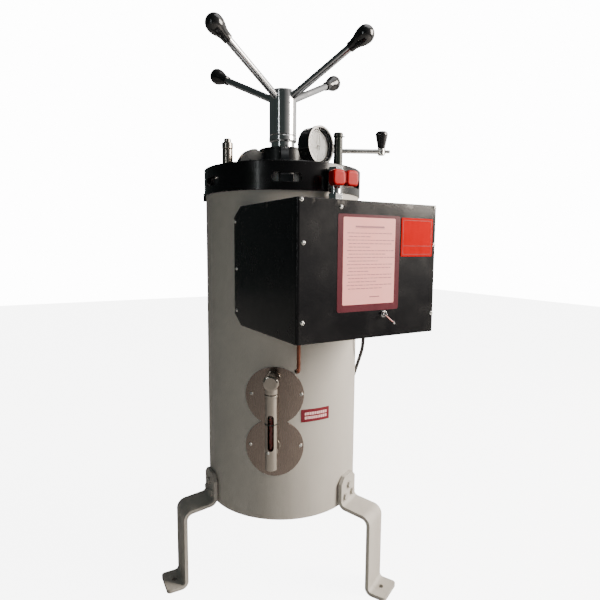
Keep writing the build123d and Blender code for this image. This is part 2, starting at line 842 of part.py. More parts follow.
column_radius = 12.5
column_bottom = base + 126.0
column_top = base + 280.0
union_radius = 13.6
union_top = base + 301.0
upper_boss_radius = 16.2
upper_boss_end = level_reach + 14.0
column_bore = 7.5
port_radius = 14.0
window_slot = (13.0, 74.0)
window_middle = base + 206.0
glass_radius = 6.5
column_point = outward(level_azimuth, level_reach)
column_plane = Plane(
    origin=(column_point.X, column_point.Y, 0), x_dir=(1, 0, 0), z_dir=(0, -1, 0)
)
upper_boss_plane = Plane(
    origin=(0, 0, level_port_heights[1]),
    x_dir=(0, 0, 1),
    z_dir=Vector(0, 0, 1).cross(outward(level_azimuth)),
)

with BuildPart() as level_column:
    turned(
        (
            (0, column_bottom),
            (column_radius - 2, column_bottom),
            (column_radius, column_bottom + 2),
            (column_radius, column_top - 3),
            (union_radius, column_top - 1),
            (union_radius, column_top + 3),
            (column_radius, column_top + 4),
            (union_radius, column_top + 6),
            (union_radius, union_top),
            (0, union_top),
        ),
        column_plane,
    )
    with BuildSketch(facing(level_azimuth, nozzle_reach + 0.3, level_port_heights[0])):
        Circle(port_radius)
    extrude(amount=level_reach - nozzle_reach)
    turned(
        (
            (0, nozzle_reach + 0.3),
            (port_radius, nozzle_reach + 0.3),
            (port_radius, nozzle_reach + 12),
            (upper_boss_radius, nozzle_reach + 14),
            (upper_boss_radius, upper_boss_end - 4),
            (upper_boss_radius - 1.2, upper_boss_end - 1.2),
            (upper_boss_radius - 4, upper_boss_end),
            (0, upper_boss_end),
        ),
        upper_boss_plane,
    )
    with Locations((column_point.X, column_point.Y, (column_bottom + union_top) / 2 + 10)):
        Cylinder(column_bore, union_top - column_bottom - 4, mode=Mode.SUBTRACT)
    with BuildSketch(facing(level_azimuth, level_reach, window_middle)):
        SlotOverall(window_slot[1], window_slot[0], rotation=90)
    extrude(amount=column_radius + 5, mode=Mode.SUBTRACT)
    for port_height in level_port_heights:
        with BuildSketch(facing(level_azimuth, nozzle_reach, port_height)):
            Circle(nozzle_bore)
        extrude(amount=level_reach - nozzle_reach, mode=Mode.SUBTRACT)
save(level_column.part, "level_column")

with BuildPart() as level_glass:
    with Locations((column_point.X, column_point.Y, window_middle)):
        Cylinder(glass_radius, window_slot[1] + 30)
        Cylinder(glass_radius - 1.8, window_slot[1] + 40, mode=Mode.SUBTRACT)
save(level_glass.part, "level_glass")

label_from = -14.4
label_to = 7.3
label_bottom = base + 212.0
label_height = 27.0

with BuildPart() as caution_label:
    with BuildSketch(upright(label_from)):
        with Locations((jacket_radius + 0.1, label_bottom)):
            Rectangle(0.5, label_height, align=(Align.MIN, Align.MIN))
    revolve(axis=Axis.Z, revolution_arc=label_to - label_from)
save(caution_label.part, "caution_label")

# all the small pan-head screws: front panel, box sides and level gauge plate
with BuildPart() as panel_screws:
    for screw_x, screw_rise in panel_screw_places:
        with BuildSketch(Plane.XZ.offset(-box_front)):
            with Locations((screw_x, box_bottom + screw_rise)):
                Circle(small_screw_head)
        extrude(amount=small_screw_head_height, taper=20)
        with BuildSketch(Plane.XZ.offset(-box_front)):
            with Locations((screw_x, box_bottom + screw_rise)):
                Circle(small_screw_radius)
        extrude(amount=-small_screw_length)
    for side, (side_x, side_back) in side_ends.items():
        for screw_y, screw_rise in side_screw_places:
            screw_place = (side_back + screw_y, box_bottom + screw_rise)
            with BuildSketch(Plane.YZ.offset(side_x)):
                with Locations(screw_place):
                    Circle(small_screw_head)
            extrude(amount=side * small_screw_head_height, taper=20)
            with BuildSketch(Plane.YZ.offset(side_x)):
                with Locations(screw_place):
                    Circle(small_screw_radius)
            extrude(amount=-side * small_screw_length)
    for screw_azimuth, screw_level in level_screw_places:
        with BuildSketch(facing(screw_azimuth, level_plate_outer + 0.05, screw_level)):
            Circle(small_screw_head)
        extrude(amount=small_screw_head_height, taper=20)
save(panel_screws.part, "panel_screws")

# ---------------------------------------------------------------- lid
gauge_stem_radius = 6.5
relief_thread_radius = 8.0
lid_bolt_count = 6
lid_bolt_circle = 52.0
lid_bolt_radius = 4.0
gauge_foot = outward(gauge_azimuth, gauge_reach)
relief_foot = outward(relief_azimuth, relief_reach)

with BuildPart() as lid:
    with BuildSketch(Plane.XY.offset(lid_bottom)):
        Circle(lid_radius)
    extrude(amount=lid_thickness + lid_rim_height)
    with BuildSketch(Plane.XY.offset(lid_top)):
        Circle(lid_radius - lid_rim_wall)
    extrude(amount=lid_rim_height + 1, mode=Mode.SUBTRACT)
    for bolt_azimuth in bolt_azimuths:
        with BuildSketch(facing(bolt_azimuth, lid_radius - 20, lid_top + window_height / 2)):
            Rectangle(window_width, window_height)
        extrude(amount=30, mode=Mode.SUBTRACT)
    with BuildSketch(Plane.XY.offset(lid_bottom - 1)):
        with Locations((gauge_foot.X, gauge_foot.Y)):
            Circle(gauge_stem_radius)
        with Locations((relief_foot.X, relief_foot.Y)):
            Circle(relief_thread_radius)
        with PolarLocations(lid_bolt_circle, lid_bolt_count):
            Circle(lid_bolt_radius + 0.3)
    extrude(amount=lid_thickness + 2, mode=Mode.SUBTRACT)
save(lid.part, "lid")

# ---------------------------------------------------------------- crosshead drum
bearing_bottom = drum_bottom + 6.0
lift_azimuth = 131.0
post_point = Vector(post_place[0], post_place[1], 0)
lift_seat = outward(lift_azimuth, lift_arm_root)
lift_direction = Vector(post_point.X - lift_seat.X, post_point.Y - lift_seat.Y, 0)
lift_length = lift_direction.length
lift_plane = Plane(
    origin=(lift_seat.X, lift_seat.Y, lift_arm_bottom), x_dir=lift_direction, z_dir=(0, 0, 1)
)

with BuildPart() as drum:
    with BuildSketch(Plane.XY.offset(lid_top)):
        Circle(pedestal_flange_radius)
    extrude(amount=pedestal_flange_height)
    with BuildSketch(Plane.XY.offset(lid_top)):
        Circle(pedestal_radius)
    extrude(amount=drum_bottom - lid_top)
    with BuildSketch(Plane.XY.offset(drum_bottom)):
        Circle(drum_radius)
    extrude(amount=drum_top - drum_bottom)
    chamfer(drum.faces().sort_by(Axis.Z)[-1].edges(), 1.0)
    with BuildSketch(Plane.XY.offset(scroll_bottom - 0.6)):
        Circle(scroll_radius + 0.5)
    extrude(amount=drum_top, mode=Mode.SUBTRACT)
    with BuildSketch(Plane.XY.offset(bearing_bottom)):
        Circle(spindle_radius + 0.08)
    extrude(amount=drum_top, mode=Mode.SUBTRACT)
    for bolt_azimuth in bolt_azimuths:
        with BuildSketch(facing(bolt_azimuth, 0, arm_top - arm_depth - 0.5)):
            Rectangle(
                arm_width + 2 * channel_clearance,
                arm_depth + 2.5,
                align=(Align.CENTER, Align.MIN),
            )
        extrude(amount=drum_radius + 5, mode=Mode.SUBTRACT)
    with BuildSketch(lift_plane):
        Rectangle(2 * drum_radius, lift_arm_width, align=(Align.MIN, Align.CENTER))
    extrude(amount=lift_arm_height, mode=Mode.SUBTRACT)
    with BuildSketch(Plane.XY.offset(lid_top - 1)):
        with PolarLocations(lid_bolt_circle, lid_bolt_count):
            Circle(lid_bolt_radius + 0.3)
    extrude(amount=pedestal_flange_height + 2, mode=Mode.SUBTRACT)
save(drum.part, "crosshead_drum")

with BuildPart() as drum_cover:
    with BuildSketch(Plane.XY.offset(drum_top)):
        Circle(drum_radius)
        Circle(neck_radius + clearance, mode=Mode.SUBTRACT)
    extrude(amount=cover_thickness)
    chamfer(drum_cover.edges().group_by(Axis.Z)[-1].sort_by(SortBy.LENGTH)[-1], 1.5)
save(drum_cover.part, "drum_cover")

with BuildPart() as lid_bolts:
    with BuildSketch(Plane.XY.offset(lid_top + pedestal_flange_height)):
        with PolarLocations(lid_bolt_circle, lid_bolt_count):
            RegularPolygon(7.0, 6)
    extrude(amount=5.0)
    with BuildSketch(Plane.XY.offset(lid_bottom)):
        with PolarLocations(lid_bolt_circle, lid_bolt_count):
            Circle(lid_bolt_radius)
    extrude(amount=lid_thickness + pedestal_flange_height)
save(lid_bolts.part, "lid_bolts")

# ---------------------------------------------------------------- bolt arms
inner_shoulder = arm_outer - arm_leg
inner_drop = arm_top - arm_depth
for number, bolt_azimuth in enumerate(bolt_azimuths, start=1):
    with BuildPart() as bolt_arm:
        with BuildSketch(upright(bolt_azimuth)):
            with BuildLine():
                Line((arm_inner, inner_drop), (arm_inner, arm_top))
                Line((arm_inner, arm_top), (arm_root, arm_top))
                Line((arm_root, arm_top), (arm_crown, arm_top + arm_hump))
                EllipticalCenterArc(
                    (arm_crown, arm_knee_height),
                    arm_outer - arm_crown,
                    arm_top + arm_hump - arm_knee_height,
                    start_angle=0,
                    arc_size=90,
                )
                Line((arm_outer, arm_knee_height), (arm_outer, bolt_bottom))
                Line((arm_outer, bolt_bottom), (inner_shoulder, bolt_bottom))
                Line((inner_shoulder, bolt_bottom), (inner_shoulder, arm_knee_height))
                EllipticalCenterArc(
                    (arm_shoulder, arm_knee_height),
                    inner_shoulder - arm_shoulder,
                    inner_drop - arm_knee_height,
                    start_angle=0,
                    arc_size=90,
                )
                Line((arm_shoulder, inner_drop), (arm_inner, inner_drop))
            make_face()
        extrude(amount=arm_width / 2, both=True)
        with BuildSketch(facing(bolt_azimuth, inner_shoulder, bolt_bottom)):
            RectangleRounded(bolt_width, bolt_height, 2.0, align=(Align.CENTER, Align.MIN))
        extrude(amount=bolt_tip - inner_shoulder)
        bolt_axis = Axis(origin=(0, 0, 0), direction=outward(bolt_azimuth))
        chamfer(bolt_arm.faces().sort_by(bolt_axis)[-1].edges(), 1.2)
        pin_point = outward(bolt_azimuth, pin_circle)
        with BuildSketch(Plane.XY.offset(arm_top)):
            with Locations((pin_point.X, pin_point.Y)):
                Circle(pin_radius)
        extrude(amount=scroll_bottom + scroll_thickness - 0.6 - arm_top)
    save(bolt_arm.part, f"bolt_arm_{number}")

# ---------------------------------------------------------------- scroll plate
scroll_slot_width = 2 * pin_radius + 0.7
scroll_steps = 6
travel_per_radian = bolt_travel / radians(scroll_angle)

with BuildPart() as scroll_plate:
    with BuildSketch(Plane.XY.offset(scroll_bottom)):
        Circle(scroll_radius)
        Circle(spindle_radius + 0.02, mode=Mode.SUBTRACT)
    extrude(amount=scroll_thickness)
    for bolt_azimuth in bolt_azimuths:
        slot_points = []
        for step in range(scroll_steps + 1):
            turn = scroll_angle * step / scroll_steps
            reach = pin_circle + travel_per_radian * radians(turn)
            slot_points.append(outward(bolt_azimuth - turn, reach))
        with BuildSketch(Plane.XY.offset(scroll_bottom)):
            with BuildLine():
                Spline(*slot_points)
            trace(line_width=scroll_slot_width)
            for slot_end in (slot_points[0], slot_points[-1]):
                with Locations((slot_end.X, slot_end.Y)):
                    Circle(scroll_slot_width / 2)
        extrude(amount=scroll_thickness, mode=Mode.SUBTRACT)
save(scroll_plate.part, "scroll_plate")

# ---------------------------------------------------------------- handwheel
socket_depth = 14.0
hub_corner = 3.0
spindle_bottom = bearing_bottom + 2.0
neck_bottom = scroll_bottom + scroll_thickness


def spoke_plane(azimuth, along=0.0):
    """Plane square to a spoke, `along` from where it leaves the hub."""
    run = Vector(knob_reach - hub_radius, knob_height - spoke_root_height)
    unit = run.normalized()
    direction = outward(azimuth, unit.X, unit.Y)
    foot = outward(azimuth, hub_radius + unit.X * along, spoke_root_height + unit.Y * along)
    return Plane(origin=foot, x_dir=(cos(radians(azimuth)), sin(radians(azimuth)), 0), z_dir=direction)


spoke_run = Vector(knob_reach - hub_radius, knob_height - spoke_root_height).length

with BuildPart() as handwheel_hub:
    turned(
        (
            (0, spindle_bottom),
            (spindle_radius, spindle_bottom),
            (spindle_radius, neck_bottom),
            (neck_radius, neck_bottom),
            (neck_radius, neck_top),
            (lower_collar_radius - 1, neck_top + 1),
            (lower_collar_radius, neck_top + 2),
            (lower_collar_radius, lower_collar_top - 1),
            (lower_collar_radius - 1, lower_collar_top),
            (groove_radius, lower_collar_top),
            (groove_radius, upper_collar_bottom),
            (collar_radius - 1, upper_collar_bottom),
            (collar_radius, upper_collar_bottom + 1),
            (collar_radius, collar_top - 2),
            (collar_radius - 1.5, collar_top),
            (hub_radius, collar_top + 1.5),
            (hub_radius, hub_top - hub_corner),
            (hub_radius - hub_corner, hub_top),
            (0, hub_top),
        )
    )
    for spoke_azimuth in spoke_azimuths:
        with BuildSketch(spoke_plane(spoke_azimuth, -socket_depth)):
            Circle(spoke_radius)
        extrude(amount=40, mode=Mode.SUBTRACT)
save(handwheel_hub.part, "handwheel_hub")

knob_bore_radius = 6.0
knob_bore_depth = 22.0

with BuildPart() as handwheel_spokes:
    for spoke_azimuth in spoke_azimuths:
        with BuildSketch(spoke_plane(spoke_azimuth, -socket_depth)):
            Circle(spoke_radius)
        extrude(amount=socket_depth + spoke_run - knob_length + ball_radius)
        with BuildSketch(spoke_plane(spoke_azimuth, spoke_run - knob_length + ball_radius)):
            Circle(knob_bore_radius)
        extrude(amount=knob_bore_depth)
save(handwheel_spokes.part, "handwheel_spokes")

with BuildPart() as handwheel_knobs:
    for spoke_azimuth in spoke_azimuths:
        knob_foot = spoke_plane(spoke_azimuth, spoke_run - knob_length + ball_radius)
        ball_middle = knob_length - ball_radius
        knob_plane = Plane(knob_foot.origin, x_dir=knob_foot.x_dir, z_dir=-knob_foot.y_dir)
        with BuildSketch(knob_plane) as knob_profile:
            with BuildLine():
                Line((knob_bore_radius, 0), (knob_neck_radius, 0))
                Spline(
                    (knob_neck_radius, 0),
                    (knob_neck_radius + 1.2, 14),
                    (ball_radius, ball_middle),
                    tangents=[(0, 1), (0, 1)],
                )
                CenterArc((0, ball_middle), ball_radius, 0, 90)
                Line((0, knob_length), (0, knob_bore_depth))
                Line((0, knob_bore_depth), (knob_bore_radius, knob_bore_depth))
                Line((knob_bore_radius, knob_bore_depth), (knob_bore_radius, 0))
            make_face()
        revolve(knob_profile.sketch, axis=Axis(knob_foot.origin, knob_foot.z_dir))
save(handwheel_knobs.part, "handwheel_knobs")

# ---------------------------------------------------------------- lid lifting gear
post_wall = 5.0
nut_radius = screw_radius + screw_clearance
bracket_heights = (body_top - 220.0, body_top - 60.0)
bracket_thickness = 22.0
bracket_width = 46.0
bracket_reach = 12.0
bracket_root = jacket_radius - 10.0
post_reach = post_point.length
post_side = Vector(post_point.X, post_point.Y, 0).normalized()

with BuildPart() as lift_post:
    with BuildSketch(Plane.XY.offset(post_bottom)):
        with Locations(post_place):
            Circle(post_radius)
    extrude(amount=post_top - post_bottom)
    with BuildSketch(Plane.XY.offset(post_bottom + post_wall)):
        with Locations(post_place):
            Circle(post_radius - post_wall)
    extrude(amount=post_top - post_bottom - post_wall - nut_length, mode=Mode.SUBTRACT)
    with BuildSketch(Plane.XY.offset(post_top - nut_length - 1)):
        with Locations(post_place):
            Circle(nut_radius)
    extrude(amount=nut_length + 2, mode=Mode.SUBTRACT)
save(lift_post.part, "lift_post")

with BuildPart() as post_brackets:
    for bracket_height in bracket_heights:
        bracket_plane = Plane(origin=(0, 0, bracket_height), x_dir=post_side, z_dir=(0, 0, 1))
        with BuildSketch(bracket_plane):
            with Locations((bracket_root, 0)):
                Rectangle(
                    post_reach + bracket_reach - bracket_root,
                    bracket_width,
                    align=(Align.MIN, Align.CENTER),
                )
            Circle(jacket_radius + 0.1, mode=Mode.SUBTRACT)
            with Locations((post_reach, 0)):
                Circle(post_radius + 0.05, mode=Mode.SUBTRACT)
        extrude(amount=bracket_thickness)
save(post_brackets.part, "post_brackets")

screw_collar_radius = 11.0
screw_collar_height = 4.0
screw_top = lift_arm_bottom + lift_arm_height + 8.0
collar_bottom = lift_arm_bottom - screw_collar_height - 0.3
crank_hub_bottom = lift_arm_bottom + lift_arm_height + 0.4
post_axis_plane = Plane(origin=(post_place[0], post_place[1], 0), x_dir=(1, 0, 0), z_dir=(0, -1, 0))

with BuildPart() as lid_arm:
    with BuildSketch(lift_plane):
        Rectangle(lift_length, lift_arm_width, align=(Align.MIN, Align.CENTER))
        with Locations((lift_length, 0)):
            Circle(lift_boss_radius)
        with Locations((lift_length, 0)):
            Circle(screw_radius + 0.08, mode=Mode.SUBTRACT)
    extrude(amount=lift_arm_height)
save(lid_arm.part, "lid_arm")

crank_direction = outward(crank_azimuth)
crank_plane = Plane(
    origin=(post_place[0], post_place[1], crank_rod_height), x_dir=(0, 0, 1), z_dir=crank_direction
)
crank_cap_top = crank_hub_top + 14.0
cap_pin_radius = 1.6
cap_pin_plane = Plane(
    origin=(post_place[0], post_place[1], crank_hub_top + 5), x_dir=(0, 0, 1), z_dir=crank_direction
)
crank_tail = 16.0
rod_tip_radius = 4.0
rod_tip_length = 12.0

# the lifting screw and the crank's hub, pinned together
with BuildPart() as crank_spindle:
    turned(
        (
            (0, post_top - screw_length),
            (screw_radius - 1, post_top - screw_length),
            (screw_radius, post_top - screw_length + 1),
            (screw_radius, collar_bottom),
            (screw_collar_radius, collar_bottom),
            (screw_collar_radius, collar_bottom + screw_collar_height),
            (screw_radius, collar_bottom + screw_collar_height),
            (screw_radius, screw_top),
            (0, screw_top),
        ),
        post_axis_plane,
    )
    turned(
        (
            (screw_radius, crank_hub_bottom),
            (crank_hub_radius, crank_hub_bottom),
            (crank_hub_radius, crank_hub_top),
            (crank_hub_radius - 2, crank_hub_top + 0.5),
            (crank_hub_radius - 2, crank_hub_top + 2),
            (crank_hub_radius + 0.8, crank_hub_top + 3),
            (crank_hub_radius + 0.8, crank_cap_top - 2),
            (crank_hub_radius - 1.2, crank_cap_top),
            (0, crank_cap_top),
            (0, screw_top + 0.2),
            (screw_radius, screw_top + 0.2),
        ),
        post_axis_plane,
    )
    with BuildSketch(crank_plane):
        Circle(crank_rod_radius)
    extrude(amount=crank_hub_radius + 2, both=True, mode=Mode.SUBTRACT)
    with BuildSketch(cap_pin_plane):
        Circle(cap_pin_radius)
    extrude(amount=crank_hub_radius + 5.0)
save(crank_spindle.part, "crank_spindle")

with BuildPart() as crank_rod:
    with BuildSketch(crank_plane.offset(-crank_tail)):
        Circle(crank_rod_radius)
    extrude(amount=crank_tail + crank_rod_length)
    with BuildSketch(crank_plane.offset(crank_rod_length)):
        Circle(rod_tip_radius)
    extrude(amount=rod_tip_length)
save(crank_rod.part, "crank_rod")

grip_point = post_point + crank_direction * crank_throw
grip_axis_plane = Plane(origin=(grip_point.X, grip_point.Y, 0), x_dir=(1, 0, 0), z_dir=(0, -1, 0))
grip_collar_radius = 9.0
grip_collar_bottom = crank_rod_height - 9.6
grip_bottom = crank_rod_height + 7.0
grip_top = grip_bottom + 43.0
grip_pin_radius = 4.0
grip_bore = grip_pin_radius + 0.06
grip_recess = 8.0

with BuildPart() as grip_pin:
    turned(
        (
            (0, grip_collar_bottom),
            (grip_collar_radius - 1.5, grip_collar_bottom),
            (grip_collar_radius, grip_collar_bottom + 1.5),
            (grip_collar_radius, grip_bottom - 0.6),
            (grip_pin_radius, grip_bottom - 0.6),
            (grip_pin_radius, grip_top - grip_recess + 0.4),
            (grip_pin_radius + 3, grip_top - grip_recess + 0.4),
            (grip_pin_radius + 3, grip_top - grip_recess + 3.4),
            (0, grip_top - grip_recess + 3.4),
        ),
        grip_axis_plane,
    )
    with BuildSketch(crank_plane.offset(crank_throw - 2 * grip_collar_radius)):
        Circle(crank_rod_radius)
    extrude(amount=4 * grip_collar_radius, mode=Mode.SUBTRACT)
save(grip_pin.part, "grip_pin")

with BuildPart() as crank_grip:
    with BuildSketch(grip_axis_plane) as grip_profile:
        with BuildLine():
            Line((grip_bore, grip_bottom), (9.0, grip_bottom))
            Spline((9.0, grip_bottom), (12.6, grip_bottom + 18), (15.3, grip_top - 11))
            Spline(
                (15.3, grip_top - 11),
                (14.0, grip_top - 2.5),
                (10.5, grip_top),
            )
            Line((10.5, grip_top), (grip_pin_radius + 4, grip_top))
            Line((grip_pin_radius + 4, grip_top), (grip_pin_radius + 4, grip_top - grip_recess))
            Line((grip_pin_radius + 4, grip_top - grip_recess), (grip_bore, grip_top - grip_recess))
            Line((grip_bore, grip_top - grip_recess), (grip_bore, grip_bottom))
        make_face()
    revolve(grip_profile.sketch, axis=Axis(grip_axis_plane.origin, (0, 0, 1)))
save(crank_grip.part, "crank_grip")

# ---------------------------------------------------------------- pressure gauge
gauge_middle = Vector(gauge_foot.X, gauge_foot.Y, gauge_height)
gauge_back = Plane(
    origin=gauge_middle,
    x_dir=(cos(radians(gauge_face_azimuth)), sin(radians(gauge_face_azimuth)), 0),
    z_dir=outward(gauge_face_azimuth),
).offset(-gauge_depth / 2)
gauge_bezel_width = 4.0
gauge_dial_depth = 9.0
gauge_stem_length = gauge_height - gauge_radius - lid_bottom
needle_length = 27.0
needle_tail = 9.0
needle_rest = 42.0              # needle's lean from upright towards the left
arbor_radius = 1.2

with BuildPart() as gauge_case:
    with BuildSketch(gauge_back):
        Circle(gauge_radius - 1.5)
    extrude(amount=gauge_depth)
    gauge_axis = Axis(origin=(0, 0, 0), direction=outward(gauge_face_azimuth))
    fillet(gauge_case.faces().sort_by(gauge_axis)[0].edges(), 3.0)
    with BuildSketch(gauge_back.offset(gauge_depth - 7.0)):
        Circle(gauge_radius)
    extrude(amount=7.0)
    with BuildSketch(gauge_back.offset(gauge_depth - gauge_dial_depth - 3)):
        Circle(gauge_radius - gauge_bezel_width)
    extrude(amount=gauge_dial_depth + 4, mode=Mode.SUBTRACT)
    with BuildSketch(Plane.XY.offset(lid_bottom)):
        with Locations((gauge_foot.X, gauge_foot.Y)):
            Circle(gauge_stem_radius)
    extrude(amount=gauge_stem_length + 3.0)
    with BuildSketch(Plane.XY.offset(lid_top)):
        with Locations((gauge_foot.X, gauge_foot.Y)):
            RegularPolygon(11.0, 6)
    extrude(amount=12.0)
    with BuildSketch(Plane.XY.offset(gauge_height - gauge_radius - 11)):
        with Locations((gauge_foot.X, gauge_foot.Y)):
            RegularPolygon(9.5, 6)
    extrude(amount=10.0)
save(gauge_case.part, "gauge_case")

with BuildPart() as gauge_glass:
    with BuildSketch(gauge_back.offset(gauge_depth - 3.5)):
        Circle(gauge_radius - gauge_bezel_width)
    extrude(amount=2.0)
save(gauge_glass.part, "gauge_glass")

needle_plane = gauge_back.offset(gauge_depth - gauge_dial_depth + 1.2).rotated((0, 0, needle_rest))
with BuildPart() as gauge_needle:
    with BuildSketch(needle_plane):
        with BuildLine():
            Polyline(
                (-2.2, -needle_tail),
                (2.2, -needle_tail),
                (1.2, 0),
                (0.35, needle_length),
                (-0.35, needle_length),
                (-1.2, 0),
                close=True,
            )
        make_face()
        Circle(3.4)
    extrude(amount=1.0)
    with BuildSketch(needle_plane):
        Circle(arbor_radius)
    extrude(amount=-3.6)
save(gauge_needle.part, "gauge_needle")

# ---------------------------------------------------------------- safety valve
relief_plane = Plane(origin=(relief_foot.X, relief_foot.Y, 0), x_dir=(1, 0, 0), z_dir=(0, -1, 0))
relief_body_top = body_top + 107.0
relief_bore = 5.0
relief_body_radius = 12.0
relief_ring_radius = 12.6
relief_cap_radius = 8.1
relief_guide_bottom = relief_body_top - 12.0

with BuildPart() as relief_valve:
    turned(
        (
            (relief_bore, lid_bottom),
            (relief_thread_radius, lid_bottom),
            (relief_thread_radius, lid_top),
            (14.5, lid_top),
            (14.5, lid_top + 16),
            (relief_body_radius, lid_top + 18),
            (relief_body_radius, relief_body_top - 1),
            (relief_body_radius - 1, relief_body_top),
            (relief_bore - 1, relief_body_top),
            (relief_bore - 1, relief_guide_bottom),
            (relief_bore + 2.5, relief_guide_bottom),
            (relief_bore + 2.5, lid_top + 20),
            (relief_bore, lid_top + 20),
        ),
        relief_plane,
    )
save(relief_valve.part, "relief_valve")

relief_stem_radius = relief_bore - 1.06
relief_stop = 6.5
with BuildPart() as relief_stem:
    turned(
        (
            (0, lid_top + 21),
            (relief_stop, lid_top + 21),
            (relief_stop, lid_top + 27),
            (relief_stem_radius, lid_top + 27),
            (relief_stem_radius, relief_body_top + 1),
            (relief_ring_radius - 1, relief_body_top + 1),
            (relief_ring_radius, relief_body_top + 2),
            (relief_ring_radius, relief_body_top + 14),
            (relief_ring_radius - 1, relief_body_top + 15),
            (relief_cap_radius, relief_body_top + 15),
            (relief_cap_radius, relief_body_top + 22.5),
            (relief_cap_radius - 1.5, relief_body_top + 24),
            (0, relief_body_top + 24),
        ),
        relief_plane,
    )
save(relief_stem.part, "relief_stem")

# ---------------------------------------------------------------- power lead
gland_length = 30.0
gland_bottom = box_bottom - gland_length

with BuildPart() as cable_gland:
    turned(
        (
            (0, gland_bottom),
            (cord_radius + 1.2, gland_bottom),
            (cord_radius + 3.2, gland_bottom + 9),
            (10.0, gland_bottom + 14),
            (10.0, gland_bottom + 24),
            (12.0, gland_bottom + 24),
            (12.0, box_bottom),
            (gland_thread_radius, box_bottom),
            (gland_thread_radius, box_bottom + sheet),
            (12.0, box_bottom + sheet),
            (12.0, box_bottom + sheet + 5),
            (0, box_bottom + sheet + 5),
        ),
        Plane(origin=(gland_place[0], gland_place[1], 0), x_dir=(1, 0, 0), z_dir=(0, -1, 0)),
    )
save(cable_gland.part, "cable_gland")

coil_middle = (208.0, 154.0)
coil_turn_radii = (36.0, 44.0, 52.0)
coil_layers = 2
coil_turns = 4.25
coil_mean_radius = 43.0
coil_inner = coil_turn_radii[0] - cord_radius
coil_outer = coil_turn_radii[-1] + cord_radius
coil_height = 2 * cord_radius * coil_layers
lead_in = coil_middle[0] - coil_turn_radii[-1]
cord_route = [
    (gland_place[0], gland_place[1], gland_bottom),
    (131, -146, gland_bottom - 34),
    (145, -118, gland_bottom - 63),
    (165, -82, gland_bottom - 90),
    (183, -46, gland_bottom - 124),
    (197, -9, gland_bottom - 163),
    (203, 25, gland_bottom - 214),
    (201, 42, gland_bottom - 270),
    (194, 50, gland_bottom - 327),
    (184, 53, gland_bottom - 382),
    (174, 58, gland_bottom - 436),
    (163, 69, gland_bottom - 487),
    (158, 86, gland_bottom - 526),
    (156, 108, 16),
    (lead_in, 134, cord_radius),
    (lead_in, coil_middle[1], cord_radius),
]


def cord_radii(route):
    """Arc radii: 0.45 of the shorter run over the tangent of half the turn."""
    radii = []
    for before, corner, after in zip(route, route[1:], route[2:]):
        run_in = Vector(*corner) - Vector(*before)
        run_out = Vector(*after) - Vector(*corner)
        turn = radians(run_in.get_angle(run_out))
        radii.append(0.45 * min(run_in.length, run_out.length) / tan(turn / 2))
    return radii


cord_arcs = cord_radii(cord_route)
print("cord arc radii", [round(radius) for radius in cord_arcs])
with BuildPart() as power_cord:
    with BuildLine() as cord_line:
        FilletPolyline(*cord_route, radius=cord_arcs)
    with BuildSketch(Plane.XY.offset(gland_bottom)):
        with Locations(gland_place):
            Circle(cord_radius)
    sweep()
cord_area = pi * cord_radius**2
cord_tube_length = sum(edge.length for edge in cord_line.edges())
print("cord tube length", round(cord_tube_length))
print("cord volume over section", round(power_cord.part.volume / cord_area))
save(power_cord.part, "power_cord")

plug_axis_height = coil_height - cord_radius
lead_out = coil_middle[1] + coil_turn_radii[-1]
notch_width = 3.4 * cord_radius
sleeve_length = 46.0
sleeve_tip_radius = cord_radius + 1.0
sleeve_root_radius = cord_radius + 3.5
plug_body = (36.0, 24.0)
plug_length = 36.0
plug_corner = 8.0
plug_pin_length = 18.0
plug_pins = ((-9.0, -3.5, 3.5), (9.0, -3.5, 3.5), (0.0, 5.0, 4.3))
plug_plane = Plane(
    origin=(coil_middle[0], lead_out, plug_axis_height), x_dir=(0, 1, 0), z_dir=(1, 0, 0)
)

with BuildPart() as cord_coil:
    with BuildSketch(Plane.XY):
        with Locations(coil_middle):
            Circle(coil_outer)
            Circle(coil_inner, mode=Mode.SUBTRACT)
        with Locations((lead_in, coil_middle[1])):
            Rectangle(
                notch_width, coil_outer, align=(Align.CENTER, Align.MAX), mode=Mode.SUBTRACT
            )
        with Locations((coil_middle[0], lead_out)):
            Rectangle(
                coil_outer, notch_width, align=(Align.MIN, Align.CENTER), mode=Mode.SUBTRACT
            )
    extrude(amount=coil_height)
save(cord_coil.part, "cord_coil")
print("cord coil length", round(2 * pi * coil_mean_radius * coil_turns))

with BuildPart() as power_plug:
    with BuildSketch(plug_plane):
        Circle(sleeve_tip_radius)
    with BuildSketch(plug_plane.offset(sleeve_length)):
        Circle(sleeve_root_radius)
    loft()
    with BuildSketch(plug_plane.offset(sleeve_length)):
        RectangleRounded(plug_body[0], plug_body[1], plug_corner)
    extrude(amount=plug_length)
    fillet(power_plug.faces().sort_by(Axis.X)[-1].edges(), 1.5)
    with BuildSketch(plug_plane.offset(sleeve_length + plug_length)):
        for pin_x, pin_y, pin_size in plug_pins:
            with Locations((pin_x, pin_y)):
                Circle(pin_size)
    extrude(amount=plug_pin_length)
save(power_plug.part, "power_plug")
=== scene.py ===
"""Looks of the vertical laboratory autoclave: finishes, small surface detail, lead, camera and light.

Metres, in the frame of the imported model: the origin is on the floor on the body's axis, -Y is the
front and azimuths are counted from the front (0) towards +X (+90).
"""
import json
import math
import random

import bmesh
import bpy
from mathutils import Matrix, Vector, noise


